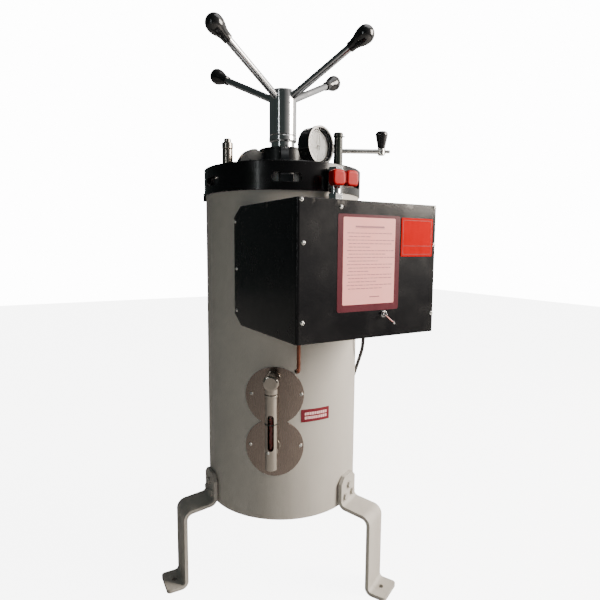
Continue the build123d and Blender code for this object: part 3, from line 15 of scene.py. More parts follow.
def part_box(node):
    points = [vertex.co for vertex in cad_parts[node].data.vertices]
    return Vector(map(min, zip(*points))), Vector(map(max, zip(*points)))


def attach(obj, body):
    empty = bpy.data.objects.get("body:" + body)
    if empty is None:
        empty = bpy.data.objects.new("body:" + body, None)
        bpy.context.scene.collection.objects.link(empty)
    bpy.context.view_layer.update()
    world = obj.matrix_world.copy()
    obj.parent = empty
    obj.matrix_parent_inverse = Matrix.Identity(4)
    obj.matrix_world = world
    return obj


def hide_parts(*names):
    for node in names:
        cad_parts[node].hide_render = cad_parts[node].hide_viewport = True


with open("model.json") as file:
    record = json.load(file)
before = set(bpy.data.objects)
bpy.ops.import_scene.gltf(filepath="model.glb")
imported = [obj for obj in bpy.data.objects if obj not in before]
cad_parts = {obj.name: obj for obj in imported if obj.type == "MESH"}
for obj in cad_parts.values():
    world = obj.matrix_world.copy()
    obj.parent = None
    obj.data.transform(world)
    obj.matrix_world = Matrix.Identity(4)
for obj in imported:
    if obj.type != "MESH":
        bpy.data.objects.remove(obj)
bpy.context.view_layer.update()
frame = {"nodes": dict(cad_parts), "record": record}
nodes = frame["nodes"]

MM = 0.001
material_slot = {part["node"]: part["material_slot"] for part in frame["record"]["subparts"]}


# ---------------------------------------------------------------- places
def outward(azimuth, reach=1.0, height=0.0):
    """Point or direction `reach` away from the body's axis at an azimuth in degrees."""
    angle = math.radians(azimuth)
    return Vector((reach * math.sin(angle), -reach * math.cos(angle), height))


def basis(origin, right, up, out):
    """Matrix whose X, Y and Z are the three given directions at an origin."""
    made = Matrix((right, up, out)).transposed().to_4x4()
    made.translation = origin
    return made


def facing(azimuth, reach, height):
    """Matrix of a plane that looks away from the body's axis: X level to the right, Y up, Z out."""
    angle = math.radians(azimuth)
    right = Vector((math.cos(angle), math.sin(angle), 0))
    return basis(outward(azimuth, reach, height), right, Vector((0, 0, 1)), outward(azimuth))


def standing(x, y, z):
    """Matrix of a level plane at a point, with Z up."""
    return Matrix.Translation((x, y, z))


def middle(node):
    low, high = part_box(node)
    return (low + high) / 2


body_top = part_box("jacket")[1].z
body_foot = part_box("jacket")[0].z
jacket_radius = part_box("jacket")[1].x
box_low, box_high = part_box("front_panel")
panel_face = box_low.y


# ---------------------------------------------------------------- camera
camera_place = Vector((-0.52905, -1.01492, 0.75775))
camera_yaw = math.radians(29.641)
camera_pitch = math.radians(6.305)
camera_roll = math.radians(0.4076)
camera_lens = 29.03

forward = Vector(
    (
        math.sin(camera_yaw) * math.cos(camera_pitch),
        math.cos(camera_yaw) * math.cos(camera_pitch),
        -math.sin(camera_pitch),
    )
)
level_right = Vector((math.cos(camera_yaw), -math.sin(camera_yaw), 0))
level_up = level_right.cross(forward)
camera_right = level_right * math.cos(camera_roll) + level_up * math.sin(camera_roll)
camera_up = level_up * math.cos(camera_roll) - level_right * math.sin(camera_roll)
camera = bpy.data.objects.new("camera", bpy.data.cameras.new("camera"))
bpy.context.scene.collection.objects.link(camera)
camera.matrix_world = basis(camera_place, camera_right, camera_up, -forward)
camera.data.lens = camera_lens
camera.data.sensor_width = 36
camera.data.clip_start = 0.05
bpy.context.scene.camera = camera


# ---------------------------------------------------------------- material kit
def add(material, kind, inputs=None, **settings):
    """Adds one shader node; `inputs` maps a socket's name to a value or to another socket."""
    made = material.node_tree.nodes.new("ShaderNode" + kind)
    for key, value in settings.items():
        setattr(made, key, value)
    for key, value in (inputs or {}).items():
        if isinstance(value, bpy.types.NodeSocket):
            material.node_tree.links.new(value, made.inputs[key])
        else:
            made.inputs[key].default_value = value
    return made


def new_material(name, **constants):
    """A Principled material; each constant is set on the shader's own socket."""
    material = bpy.data.materials.new(name)
    material.use_nodes = True
    shader = material.node_tree.nodes["Principled BSDF"]
    for key, value in constants.items():
        shader.inputs[key.replace("_", " ")].default_value = value
    return material


def link(material, socket, name):
    shader = material.node_tree.nodes["Principled BSDF"]
    material.node_tree.links.new(socket, shader.inputs[name])


def grain(material, scale, detail=4.0, stretch=(1, 1, 1), roughness=0.55):
    """Noise over the piece, `scale` features to the metre, stretched along the small factors."""
    place = add(material, "TexCoord").outputs["Object"]
    spread = add(material, "Mapping", {"Vector": place, "Scale": stretch}).outputs["Vector"]
    inputs = {"Vector": spread, "Scale": scale, "Detail": detail, "Roughness": roughness}
    return add(material, "TexNoise", inputs).outputs["Fac"]


def ramp(material, factor, *stops):
    """Colours or grey levels along a factor; a stop is (place, colour or level)."""
    made = add(material, "ValToRGB", {"Fac": factor})
    elements = made.color_ramp.elements
    while len(elements) < len(stops):
        elements.new(0.5)
    for element, (place, colour) in zip(elements, stops):
        element.position = place
        shade = colour if hasattr(colour, "__len__") else (colour, colour, colour)
        element.color = (*shade, 1)
    return made.outputs["Color"]


def mixed(material, factor, first, second):
    """Second colour over the first by a factor; each is a socket or three numbers."""
    inputs = {"Factor": factor}
    made = add(material, "Mix", inputs, data_type="RGBA")
    for place, colour in ((6, first), (7, second)):
        if isinstance(colour, bpy.types.NodeSocket):
            material.node_tree.links.new(colour, made.inputs[place])
        else:
            made.inputs[place].default_value = (*colour, 1)
    return made.outputs[2]


def bumped(material, height, distance, strength=1.0, edge=0.0):
    """Raises the surface by a height map; `edge` rounds sharp edges in the shading, in metres."""
    inputs = {"Height": height, "Distance": distance, "Strength": strength}
    if edge:
        inputs["Normal"] = add(material, "Bevel", {"Radius": edge}, samples=4).outputs["Normal"]
    link(material, add(material, "Bump", inputs).outputs["Normal"], "Normal")


def worn_edges(material, radius, sharpness=0.35):
    """1 on convex and concave edges within a radius, 0 on flats."""
    soft = add(material, "Bevel", {"Radius": radius}, samples=6).outputs["Normal"]
    hard = add(material, "NewGeometry").outputs["Normal"]
    both = add(material, "VectorMath", {0: soft, 1: hard}, operation="DOT_PRODUCT").outputs["Value"]
    return ramp(material, both, (1 - sharpness, 1.0), (0.995, 0.0))


def height_above(material, low, high):
    """0 at one height over the floor and 1 at another."""
    place = add(material, "TexCoord").outputs["Object"]
    level = add(material, "SeparateXYZ", {"Vector": place}).outputs["Z"]
    inputs = {"Value": level, "From Min": low, "From Max": high}
    return add(material, "MapRange", inputs).outputs["Result"]


# ---------------------------------------------------------------- materials
def powder_coat():
    """Pebble-grey textured powder coat, a little grimy low down and chipped on the edges."""
    material = new_material("powder_coat", Roughness=0.5, Coat_Weight=0.12, Coat_Roughness=0.35)
    cloud = grain(material, 6, 3)
    speckle = grain(material, 420, 2)
    paint = ramp(material, cloud, (0.3, (0.44, 0.42, 0.385)), (0.7, (0.49, 0.47, 0.43)))
    spots = ramp(material, speckle, (0.62, 0.0), (0.78, 0.35))
    paint = mixed(material, spots, paint, (0.36, 0.34, 0.30))
    low_down = ramp(material, height_above(material, 0.0, 0.32), (0.0, 0.55), (1.0, 0.0))
    streaks = ramp(material, grain(material, 30, 5, (1, 1, 0.15)), (0.45, 0.0), (0.75, 1.0))
    grime = add(material, "Math", {0: low_down, 1: streaks}, operation="MULTIPLY").outputs[0]
    paint = mixed(material, grime, paint, (0.17, 0.145, 0.115))
    wear = worn_edges(material, 0.0016)
    flakes = ramp(material, grain(material, 110, 3), (0.52, 0.0), (0.6, 1.0))
    chips = add(material, "Math", {0: wear, 1: flakes}, operation="MULTIPLY").outputs[0]
    paint = mixed(material, chips, paint, (0.11, 0.10, 0.09))
    link(material, paint, "Base Color")
    link(material, ramp(material, speckle, (0.3, 0.42), (0.7, 0.58)), "Roughness")
    bumped(material, grain(material, 900, 2), 0.00022, 0.55, edge=0.0012)
    return material


def enamel(name, colour, dust, roughness, peel=0.35, edge=0.0011, rub=0.35, scuffed_sheen_band=None):
    """Sprayed enamel with orange peel, thin dust and edges worn to a greyer tone; a band near the top can
    get lighter streaks, partly scuffs and partly a painted reflection.
    """
    material = new_material(name, Coat_Weight=0.1, Coat_Roughness=0.1, Specular_IOR_Level=0.32)
    film = ramp(material, grain(material, 9, 5), (0.42, 0.0), (0.8, 0.5))
    specks = ramp(material, grain(material, 650, 2), (0.66, 0.0), (0.72, 0.6))
    dusty = add(material, "Math", {0: film, 1: specks}, operation="MULTIPLY").outputs[0]
    paint = mixed(material, dusty, colour, dust)
    scuffs = ramp(material, grain(material, 60, 4, (1, 1, 0.2)), (0.5, 0.0), (0.7, rub))
    worn = add(material, "Math", {0: worn_edges(material, 0.0009), 1: scuffs}, operation="MULTIPLY")
    paint = mixed(material, worn.outputs[0], paint, (0.30, 0.30, 0.29))
    # the lighter grey streaks in the top band are partly scuffs and partly a painted reflection along the
    # box's top front edge
    if scuffed_sheen_band:
        band = ramp(
            material, height_above(material, *scuffed_sheen_band), (0.0, 0.0), (0.6, 1.0), (0.95, 1.0), (1.0, 0.0)
        )
        scratch_and_sheen_streaks = ramp(material, grain(material, 45, 6, (1, 1, 0.5)), (0.56, 0.0), (0.64, 0.45))
        scuff_and_sheen_mask = add(material, "Math", {0: band, 1: scratch_and_sheen_streaks}, operation="MULTIPLY").outputs[0]
        paint = mixed(material, scuff_and_sheen_mask, paint, (0.20, 0.19, 0.18))
    link(material, paint, "Base Color")
    smear = grain(material, 22, 5)
    link(material, ramp(material, smear, (0.35, roughness), (0.75, roughness + 0.16)), "Roughness")
    bumped(material, grain(material, 260, 2), 0.0002, peel, edge=edge)
    return material


def plated(name, colour, roughness, stretch=(1, 1, 1), scale=300, edge=0.0006, stain=0.25):
    """Bare or plated metal with fine machining marks along the stretch and faint stains."""
    material = new_material(name, Metallic=1.0)
    cloud = ramp(material, grain(material, 35, 4), (0.4, 0.0), (0.8, stain))
    darker = tuple(0.55 * channel for channel in colour)
    link(material, mixed(material, cloud, colour, darker), "Base Color")
    marks = grain(material, scale, 4, stretch)
    link(material, ramp(material, marks, (0.3, roughness), (0.75, roughness + 0.14)), "Roughness")
    bumped(material, marks, 0.00006, 0.5, edge=edge)
    return material


def moulded(name, colour, roughness, coat=0.0, edge=0.0006, gloss=0.5):
    """Moulded plastic or phenolic: faint flow lines and a fine skin texture."""
    material = new_material(
        name, Coat_Weight=coat, Coat_Roughness=0.08, IOR=1.5, Specular_IOR_Level=gloss
    )
    lighter = tuple(min(1.0, 1.5 * channel + 0.01) for channel in colour)
    flow = ramp(material, grain(material, 45, 5, (1, 1, 0.4)), (0.35, 0.0), (0.85, 0.5))
    link(material, mixed(material, flow, colour, lighter), "Base Color")
    skin = grain(material, 380, 3)
    link(material, ramp(material, skin, (0.3, roughness), (0.75, roughness + 0.12)), "Roughness")
    bumped(material, skin, 0.00005, 0.5, edge=edge)
    return material


def rubber(name, colour):
    """Matt rubber with a dull bloom."""
    material = new_material(name, IOR=1.45)
    bloom = ramp(material, grain(material, 25, 5), (0.4, 0.0), (0.8, 0.35))
    paler = tuple(channel + 0.05 for channel in colour)
    link(material, mixed(material, bloom, colour, paler), "Base Color")
    skin = grain(material, 700, 2)
    link(material, ramp(material, skin, (0.3, 0.5), (0.7, 0.68)), "Roughness")
    bumped(material, skin, 0.00008, 0.5)
    return material


def paper(name, colour, stained):
    """Printed sheet behind film: fibres, slight yellowing and a soft gloss."""
    material = new_material(name, Coat_Weight=0.1, Coat_Roughness=0.15, Specular_IOR_Level=0.25)
    blotch = ramp(material, grain(material, 28, 5), (0.4, 0.0), (0.75, 0.6))
    link(material, mixed(material, blotch, colour, stained), "Base Color")
    fibre = grain(material, 1500, 3)
    link(material, ramp(material, fibre, (0.3, 0.45), (0.7, 0.6)), "Roughness")
    bumped(material, grain(material, 40, 2), 0.0004, 0.35)
    return material


def clear(name, colour, roughness=0.0, index=1.45):
    """Clear or tinted glass with finger smears."""
    material = new_material(name, Transmission_Weight=1.0, IOR=index)
    smear = ramp(material, grain(material, 60, 5), (0.5, roughness), (0.9, roughness + 0.06))
    link(material, smear, "Roughness")
    film = ramp(material, grain(material, 30, 4), (0.4, 0.0), (0.9, 0.15))
    link(material, mixed(material, film, colour, tuple(0.9 * c for c in colour)), "Base Color")
    return material


turned_marks = (0.05, 0.05, 1)
drawn_marks = (1, 1, 0.03)
materials = {
    "body_paint": powder_coat(),
    "black_gloss": enamel(
        "black_gloss", (0.004, 0.004, 0.005), (0.09, 0.085, 0.08), 0.16,
        # lighter streaks over the box's top 12 mm: scuffs and a painted reflection
        scuffed_sheen_band=(box_high.z - 12 * MM, box_high.z - 0.2 * MM),
    ),
    "black_paint": enamel("black_paint", (0.008, 0.009, 0.011), (0.07, 0.07, 0.07), 0.3, 0.5),
    "arm_steel": enamel("arm_steel", (0.026, 0.030, 0.034), (0.12, 0.12, 0.12), 0.24, 0.4),
    "blackened_steel": enamel("blackened_steel", (0.012, 0.018, 0.014), (0.05, 0.05, 0.05), 0.32),
    "stainless": plated("stainless", (0.72, 0.71, 0.69), 0.2, (1, 1, 0.03), 500),
    "satin_stainless": plated("satin_stainless", (0.25, 0.205, 0.18), 0.2, (1, 1, 0.04), 700),
    "nickel_brass": plated("nickel_brass", (0.43, 0.39, 0.345), 0.13, turned_marks, 900),
    "heater_sheath": plated("heater_sheath", (0.36, 0.34, 0.31), 0.35),
    "chrome": plated("chrome", (0.82, 0.83, 0.84), 0.05, turned_marks, 400, stain=0.15),
    "dark_chrome": plated("dark_chrome", (0.60, 0.61, 0.63), 0.1, (1, 1, 1), 90, stain=0.35),
    "steel": plated("steel", (0.50, 0.50, 0.50), 0.28),
    "zinc_steel": plated("zinc_steel", (0.66, 0.66, 0.64), 0.22, stain=0.4),
    "copper": plated("copper", (0.27, 0.105, 0.07), 0.2, drawn_marks, 400, stain=0.9),
    "black_plastic": moulded("black_plastic", (0.007, 0.007, 0.008), 0.13, 0.6),
    "needle_black": moulded("needle_black", (0.01, 0.01, 0.01), 0.4),
    "red_plastic": moulded("red_plastic", (0.36, 0.001, 0.002), 0.25, 0.03, gloss=0.18),
    "grey_plastic": moulded("grey_plastic", (0.14, 0.15, 0.16), 0.4),
    "red_badge": moulded("red_badge", (0.45, 0.0003, 0.0005), 0.55, edge=0.0003, gloss=0.02),
    "maroon_label": moulded("maroon_label", (0.16, 0.02, 0.03), 0.5, edge=0, gloss=0.1),
    "card": moulded("card", (0.085, 0.014, 0.022), 0.26, edge=0, gloss=0.25),
    "cord_rubber": rubber("cord_rubber", (0.008, 0.008, 0.008)),
    "red_silicone": rubber("red_silicone", (0.35, 0.03, 0.02)),
    "glass_wool": rubber("glass_wool", (0.62, 0.52, 0.22)),
    "clear_glass": clear("clear_glass", (0.97, 0.98, 0.98), index=1.12),
    "gauge_tube": clear("gauge_tube", (0.85, 0.30, 0.27)),
}
pink_paper = paper("pink_paper", (1.0, 0.44, 0.42), (0.98, 0.38, 0.35))
dial_white = paper("dial_white", (0.97, 0.96, 0.94), (0.92, 0.90, 0.86))
grey_ink = moulded("grey_ink", (0.30, 0.13, 0.15), 0.5, edge=0)
black_ink = moulded("black_ink", (0.02, 0.02, 0.02), 0.5, edge=0)
pale_ink = moulded("pale_ink", (0.80, 0.48, 0.48), 0.5, edge=0)
dark_red_ink = moulded("dark_red_ink", (0.20, 0.008, 0.008), 0.4, edge=0)
red_liquid = moulded("red_liquid", (0.09, 0.008, 0.008), 0.1, 0.5, edge=0)

smooth_angle = math.radians(32)
for name, piece in nodes.items():
    piece.data.materials.clear()
    piece.data.materials.append(materials[material_slot[name]])


# ---------------------------------------------------------------- mesh kit
def finish_piece(name, mesh, body, material, smooth=True):
    """Links a mesh as a piece that rides on a body and takes a slot's finish."""
    mesh.materials.append(material)
    piece = bpy.data.objects.new(name, mesh)
    bpy.context.scene.collection.objects.link(piece)
    if smooth:
        mesh.shade_smooth()
        mesh.set_sharp_from_angle(angle=smooth_angle)
    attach(piece, body)
    return piece


def from_bmesh(name, bm, body, material, smooth=True):
    bmesh.ops.recalc_face_normals(bm, faces=bm.faces)
    mesh = bpy.data.meshes.new(name)
    bm.to_mesh(mesh)
    bm.free()
    return finish_piece(name, mesh, body, material, smooth)


def lathe_into(bm, profile, place, segments=48):
    """Turns a closed outline of (radius, height) points about a matrix's Z axis."""
    rings = []
    for step in range(segments):
        turn = Matrix.Rotation(2 * math.pi * step / segments, 4, "Z")
        rings.append([bm.verts.new(place @ turn @ Vector((r, 0, h))) for r, h in profile])
    for ring, following in zip(rings, rings[1:] + rings[:1]):
        for span in range(len(profile)):
            after = (span + 1) % len(profile)
            bm.faces.new((ring[span], following[span], following[after], ring[after]))


def bead(radius, thickness, steps=8, height=0.0):
    """Round section of a ring: a circle of (radius, height) points."""
    angles = [2 * math.pi * step / steps for step in range(steps)]
    half = thickness / 2
    return [(radius + half * math.cos(a), height + half * math.sin(a)) for a in angles]


def plate_into(bm, place, x, y, width, height, low, high, corner=0.0):
    """Adds a flat plate with chamfered corners, between two levels over a matrix's plane."""
    a, b = width / 2, height / 2
    if corner:
        outline = [
            (a - corner, -b), (a, -b + corner), (a, b - corner), (a - corner, b),
            (-a + corner, b), (-a, b - corner), (-a, -b + corner), (-a + corner, -b),
        ]
    else:
        outline = [(a, -b), (a, b), (-a, b), (-a, -b)]
    lower = [bm.verts.new(place @ Vector((x + px, y + py, low))) for px, py in outline]
    upper = [bm.verts.new(place @ Vector((x + px, y + py, high))) for px, py in outline]
    bm.faces.new(upper)
    bm.faces.new(lower[::-1])
    for first in range(len(outline)):
        after = (first + 1) % len(outline)
        bm.faces.new((lower[first], lower[after], upper[after], upper[first]))


# ---------------------------------------------------------------- power lead
cord_diameter = 0.008
gland_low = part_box("cable_gland")[0]
gland_middle = middle("cable_gland")
coil_middle = middle("cord_coil")
coil_rise = 0.008
outer_turn = 0.052
inner_turn = 0.034
bottom_turns = 2.0
all_turns = 4.25
points_per_turn = 16
climb_from = 1.6
climb_turns = 0.7
cord_route = [
    (gland_middle.x, gland_middle.y, gland_low.z),
    (0.131, -0.146, 0.535),
    (0.145, -0.118, 0.506),
    (0.165, -0.082, 0.479),
    (0.183, -0.046, 0.445),
    (0.197, -0.009, 0.406),
    (0.203, 0.025, 0.355),
    (0.201, 0.042, 0.299),
    (0.194, 0.050, 0.242),
    (0.184, 0.053, 0.187),
    (0.174, 0.058, 0.133),
    (0.163, 0.069, 0.082),
    (0.158, 0.086, 0.043),
    (0.156, 0.108, 0.016),
    (0.156, 0.134, 0.004),
]
inward_step = (outer_turn - inner_turn) / bottom_turns
outward_step = (outer_turn - inner_turn) / (all_turns - bottom_turns)
for step in range(int(all_turns * points_per_turn) + 1):
    turns = step / points_per_turn
    if turns < bottom_turns:
        reach = outer_turn - inward_step * turns
    else:
        reach = inner_turn + outward_step * (turns - bottom_turns)
    climb = min(1.0, max(0.0, (turns - climb_from) / climb_turns))
    climb = climb * climb * (3 - 2 * climb)
    angle = math.pi - 2 * math.pi * turns
    cord_route.append(
        (
            coil_middle.x + reach * math.cos(angle),
            coil_middle.y + reach * math.sin(angle),
            cord_diameter / 2 + coil_rise * climb,
        )
    )

cord_curve = bpy.data.curves.new("power_lead", "CURVE")
cord_curve.dimensions = "3D"
cord_curve.bevel_depth = cord_diameter / 2
cord_curve.bevel_resolution = 4
cord_curve.use_fill_caps = True
cord_line = cord_curve.splines.new("NURBS")
cord_line.points.add(len(cord_route) - 1)
for point, place in zip(cord_line.points, cord_route):
    point.co = (*place, 1)
cord_line.order_u = 3
cord_line.use_endpoint_u = True
power_lead = bpy.data.objects.new("power_lead", cord_curve)
bpy.context.scene.collection.objects.link(power_lead)
cord_curve.materials.append(materials["cord_rubber"])
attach(power_lead, "base")
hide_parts("power_cord", "cord_coil")


def coil_tie(azimuth):
    """A flat strap round the coil's section, as a bmesh."""
    bm = bmesh.new()
    turned = Matrix.Translation((coil_middle.x, coil_middle.y, 0)) @ Matrix.Rotation(azimuth, 4, "Z")
    inner, outer = inner_turn - 0.6 * cord_diameter, outer_turn + 0.6 * cord_diameter
    top = coil_rise + cord_diameter + 0.6 * MM
    half_width, strap, corner = 3.5 * MM, 0.8 * MM, 3 * MM
    outline = [
        (inner, 0), (outer, 0), (outer, top - corner), (outer - corner, top),
        (inner + corner, top), (inner, top - corner),
    ]
    inside = [
        (inner + strap, strap), (outer - strap, strap), (outer - strap, top - corner),
        (outer - corner, top - strap), (inner + corner, top - strap), (inner + strap, top - corner),
    ]
    loops = []
    for side in (-half_width, half_width):
        for loop in (outline, inside):
            loops.append([bm.verts.new(turned @ Vector((r, side, z))) for r, z in loop])
    for first in range(len(outline)):
        after = (first + 1) % len(outline)
        for near, far in ((0, 2), (3, 1), (1, 0), (2, 3)):
            bm.faces.new((loops[near][first], loops[near][after], loops[far][after], loops[far][first]))
    return bm


tie_azimuth = math.radians(-60)
tie_piece = from_bmesh(
    "coil_tie", coil_tie(tie_azimuth), "base", materials["black_plastic"], smooth=False
)


# ---------------------------------------------------------------- screws
def islands(piece):
    """Boxes of the separate solids in a CAD node, each as its lowest and highest corner."""
    mesh = piece.data
    welded = {}
    key_of = [tuple(round(c, 6) for c in vertex.co) for vertex in mesh.vertices]
    parent = {key: key for key in key_of}

    def root(key):
        while parent[key] != key:
            parent[key] = parent[parent[key]]
            key = parent[key]
        return key

    for edge in mesh.edges:
        first, second = (root(key_of[end]) for end in edge.vertices)
        parent[first] = second
    for key in parent:
        welded.setdefault(root(key), []).append(Vector(key))
    boxes = []
    for points in welded.values():
        low = Vector([min(p[axis] for p in points) for axis in range(3)])
        high = Vector([max(p[axis] for p in points) for axis in range(3)])
        boxes.append((low, high))
    return boxes


def pan_head_into(bm, place, radius, height, spin):
    """A domed screw head with a cross recess: a grid drawn round, with the cross pressed in."""
    cells = 22
    arm_width, arm_length, recess = 0.22, 0.62, 0.55 * height
    turned = place @ Matrix.Rotation(spin, 4, "Z")
    rows = []
    for row in range(cells + 1):
        v = 2 * row / cells - 1
        line = []
        for column in range(cells + 1):
            u = 2 * column / cells - 1
            x, y = u * math.sqrt(1 - v * v / 2), v * math.sqrt(1 - u * u / 2)
            level = height * (1 - (x * x + y * y) ** 2)
            along, across = max(abs(u), abs(v)), min(abs(u), abs(v))
            if across < arm_width / 2 and along < arm_length:
                level -= recess
            line.append(bm.verts.new(turned @ Vector((radius * x, radius * y, level))))
        rows.append(line)
    for row in range(cells):
        for column in range(cells):
            corners = (rows[row][column], rows[row][column + 1])
            bm.faces.new((*corners, rows[row + 1][column + 1], rows[row + 1][column]))


screw_radius = 4.0 * MM
screw_height = 2.3 * MM
jacket_screw_lift = 1.25 * MM
random.seed(4)
screw_heads = bmesh.new()
for low, high in islands(nodes["panel_screws"]):
    place = (low + high) / 2
    spin = random.uniform(0, math.pi)
    if low.y < panel_face - 1 * MM:
        seat = facing(0, 0, 0)
        seat.translation = (place.x, panel_face, place.z)
    elif low.z > box_low.z:
        side = 1 if place.x > 0 else -1
        seat_x = box_high.x if side > 0 else box_low.x
        seat = basis(
            Vector((seat_x, place.y, place.z)), Vector((0, side, 0)), Vector((0, 0, 1)),
            Vector((side, 0, 0)),
        )
    else:
        azimuth = math.degrees(math.atan2(place.x, -place.y))
        seat = facing(azimuth, jacket_radius + jacket_screw_lift, place.z)
    pan_head_into(screw_heads, seat, screw_radius, screw_height, spin)
screw_piece = from_bmesh(
    "panel_screw_heads", screw_heads, "base", materials["zinc_steel"]
)
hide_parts("panel_screws")


# ---------------------------------------------------------------- printed plates on the panel
card_low, card_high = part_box("instruction_card")
card_middle = (card_low + card_high) / 2
paper_width, paper_height = 0.111, 0.148
paper_lift = 3.5 * MM
card_plane = basis(
    Vector((card_middle.x, card_low.y, card_middle.z + paper_lift)), Vector((1, 0, 0)),
    Vector((0, 0, 1)), Vector((0, -1, 0)),
)
paper_level = 0.12 * MM
ink_level = 0.2 * MM
sheet = bmesh.new()
plate_into(sheet, card_plane, 0, 0, paper_width, paper_height, 0, paper_level, 1.5 * MM)
from_bmesh("card_paper", sheet, "base", pink_paper, smooth=False)

random.seed(11)
lines = bmesh.new()
line_height = 1.25 * MM
line_pitch = 5.9 * MM
margin = 8 * MM
indent = 3 * MM
word_gap = 1.3 * MM
heading = (0, 0.0585, 0.062, 3.0 * MM)
heading_rule = (0, 0.0558, 0.064, 0.4 * MM)
foot_line = (0.012, -0.0615, 0.022, 1.6 * MM)
plate_into(lines, card_plane, *heading, paper_level, ink_level)
plate_into(lines, card_plane, *heading_rule, paper_level, ink_level)
paragraph_lengths = (2, 3, 2, 2, 3, 3, 2)
row_y = 0.0478
for paragraph in paragraph_lengths:
    for line_number in range(paragraph):
        last = line_number == paragraph - 1
        start = -paper_width / 2 + margin + (0 if line_number == 0 else indent)
        end = random.uniform(-0.01, 0.03) if last else paper_width / 2 - margin
        while start < end:
            word = random.uniform(3.5, 10) * MM
            plate_into(
                lines, card_plane, start + word / 2, row_y, word, line_height, paper_level, ink_level
            )
            start += word + word_gap
        row_y -= line_pitch
plate_into(lines, card_plane, *foot_line, paper_level, ink_level)
from_bmesh("card_print", lines, "base", grey_ink, smooth=False)

badge_low, badge_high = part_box("badge_plate")
badge_plane = basis(
    Vector(((badge_low.x + badge_high.x) / 2, badge_low.y, (badge_low.z + badge_high.z) / 2)),
    Vector((1, 0, 0)), Vector((0, 0, 1)), Vector((0, -1, 0)),
)
badge_width, badge_height = badge_high.x - badge_low.x, badge_high.z - badge_low.z
frame_inset, frame_line = 4 * MM, 0.9 * MM
badge_rule = 15 * MM
badge_print = bmesh.new()
inner_width, inner_height = badge_width - 2 * frame_inset, badge_height - 2 * frame_inset
for side in (-1, 1):
    plate_into(badge_print, badge_plane, side * inner_width / 2, 0, frame_line, inner_height, 0, ink_level)
    plate_into(badge_print, badge_plane, 0, side * inner_height / 2, inner_width, frame_line, 0, ink_level)
rule_y = badge_rule - inner_height / 2
plate_into(badge_print, badge_plane, 0, rule_y, inner_width, frame_line, 0, ink_level)
from_bmesh("badge_frame", badge_print, "base", dark_red_ink, smooth=False)


def curved_plate_into(bm, radius, from_azimuth, to_azimuth, low, high, proud):
    """Adds a thin patch that follows the jacket between two azimuths and two heights."""
    steps = max(1, round((to_azimuth - from_azimuth) / 1.5))
    columns = []
    for step in range(steps + 1):
        azimuth = from_azimuth + (to_azimuth - from_azimuth) * step / steps
        columns.append([bm.verts.new(outward(azimuth, radius + proud, z)) for z in (low, high)])
    for column, following in zip(columns, columns[1:]):
        bm.faces.new((column[0], following[0], following[1], column[1]))


label_low, label_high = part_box("caution_label")
label_from, label_to = -14.4, 7.3
label_radius = jacket_radius + 0.6 * MM
label_margin, letter_gap = 2.6, 0.35
print_lift = 0.1 * MM
random.seed(5)
label_print = bmesh.new()
for row_low, row_high in ((0.54, 0.76), (0.22, 0.44)):
    z_low = label_low.z + row_low * (label_high.z - label_low.z)
    z_high = label_low.z + row_high * (label_high.z - label_low.z)
    azimuth = label_from + label_margin
    while azimuth < label_to - label_margin:
        width = random.uniform(0.9, 1.6)
        curved_plate_into(label_print, label_radius, azimuth, azimuth + width, z_low, z_high, print_lift)
        azimuth += width + letter_gap
from_bmesh("label_print", label_print, "base", pale_ink, smooth=False)

# ---------------------------------------------------------------- pressure gauge face
gauge_face_azimuth = 17.0
glass_level = 11.5 * MM
gauge_centre = middle("gauge_glass") - outward(gauge_face_azimuth, glass_level)
face_angle = math.radians(gauge_face_azimuth)
face_right = Vector((math.cos(face_angle), math.sin(face_angle), 0))
face_plane = basis(gauge_centre, face_right, Vector((0, 0, 1)), outward(gauge_face_azimuth))
dial_radius = 0.0352
dial_back, dial_level = 2.0 * MM, 2.45 * MM
axis_hole = 0.0001
dial = bmesh.new()
lathe_into(
    dial,
    [(axis_hole, dial_back), (dial_radius, dial_back), (dial_radius, dial_level), (axis_hole, dial_level)],
    face_plane, 72,
)
from_bmesh("gauge_dial", dial, "lid", dial_white)

# the needle stands upright at rest and swings 90 degrees below zero and 180 above it
first_angle, last_angle = math.radians(180), math.radians(-90)
major_steps, minor_per_major = 6, 5
zero_step = 2
marks = bmesh.new()
scale_radius = 0.0285
scale_line = 0.35 * MM
scale_level = dial_level + 0.1 * MM
for step in range(major_steps * minor_per_major + 1):
    share = step / (major_steps * minor_per_major)
    angle = first_angle + (last_angle - first_angle) * share
    major = step % minor_per_major == 0
    length = 3.6 * MM if major else 2.0 * MM
    width = 0.7 * MM if major else scale_line
    turned = face_plane @ Matrix.Rotation(angle, 4, "Z")
    plate_into(marks, turned, scale_radius - length / 2, 0, length, width, dial_level, scale_level)
arc_steps = 60
arc_overlap = 1.04
arc_piece = abs(first_angle - last_angle) / arc_steps * scale_radius * arc_overlap
for step in range(arc_steps):
    angle = first_angle + (last_angle - first_angle) * (step + 0.5) / arc_steps
    turned = face_plane @ Matrix.Rotation(angle, 4, "Z")
    plate_into(marks, turned, scale_radius, 0, scale_line, arc_piece, dial_level, scale_level)
from_bmesh("gauge_scale", marks, "lid", black_ink, smooth=False)

number_radius = 0.0208
number_size = 5.2 * MM
for number in range(major_steps + 1):
    angle = first_angle + (last_angle - first_angle) * number / major_steps
    text = bpy.data.curves.new(f"gauge_number_{number}", "FONT")
    text.body = str(abs(number - zero_step))
    text.size = number_size
    text.align_x = "CENTER"
    text.align_y = "CENTER"
    writer = bpy.data.objects.new("number_writer", text)
    bpy.context.scene.collection.objects.link(writer)
    bpy.context.view_layer.update()
    mesh = bpy.data.meshes.new_from_object(writer)
    bpy.data.objects.remove(writer)
    shift = Vector((number_radius * math.cos(angle), number_radius * math.sin(angle), scale_level))
    mesh.transform(face_plane @ Matrix.Translation(shift))
    mesh.materials.clear()
    finish_piece(f"gauge_number_{number}", mesh, "lid", black_ink, smooth=False)

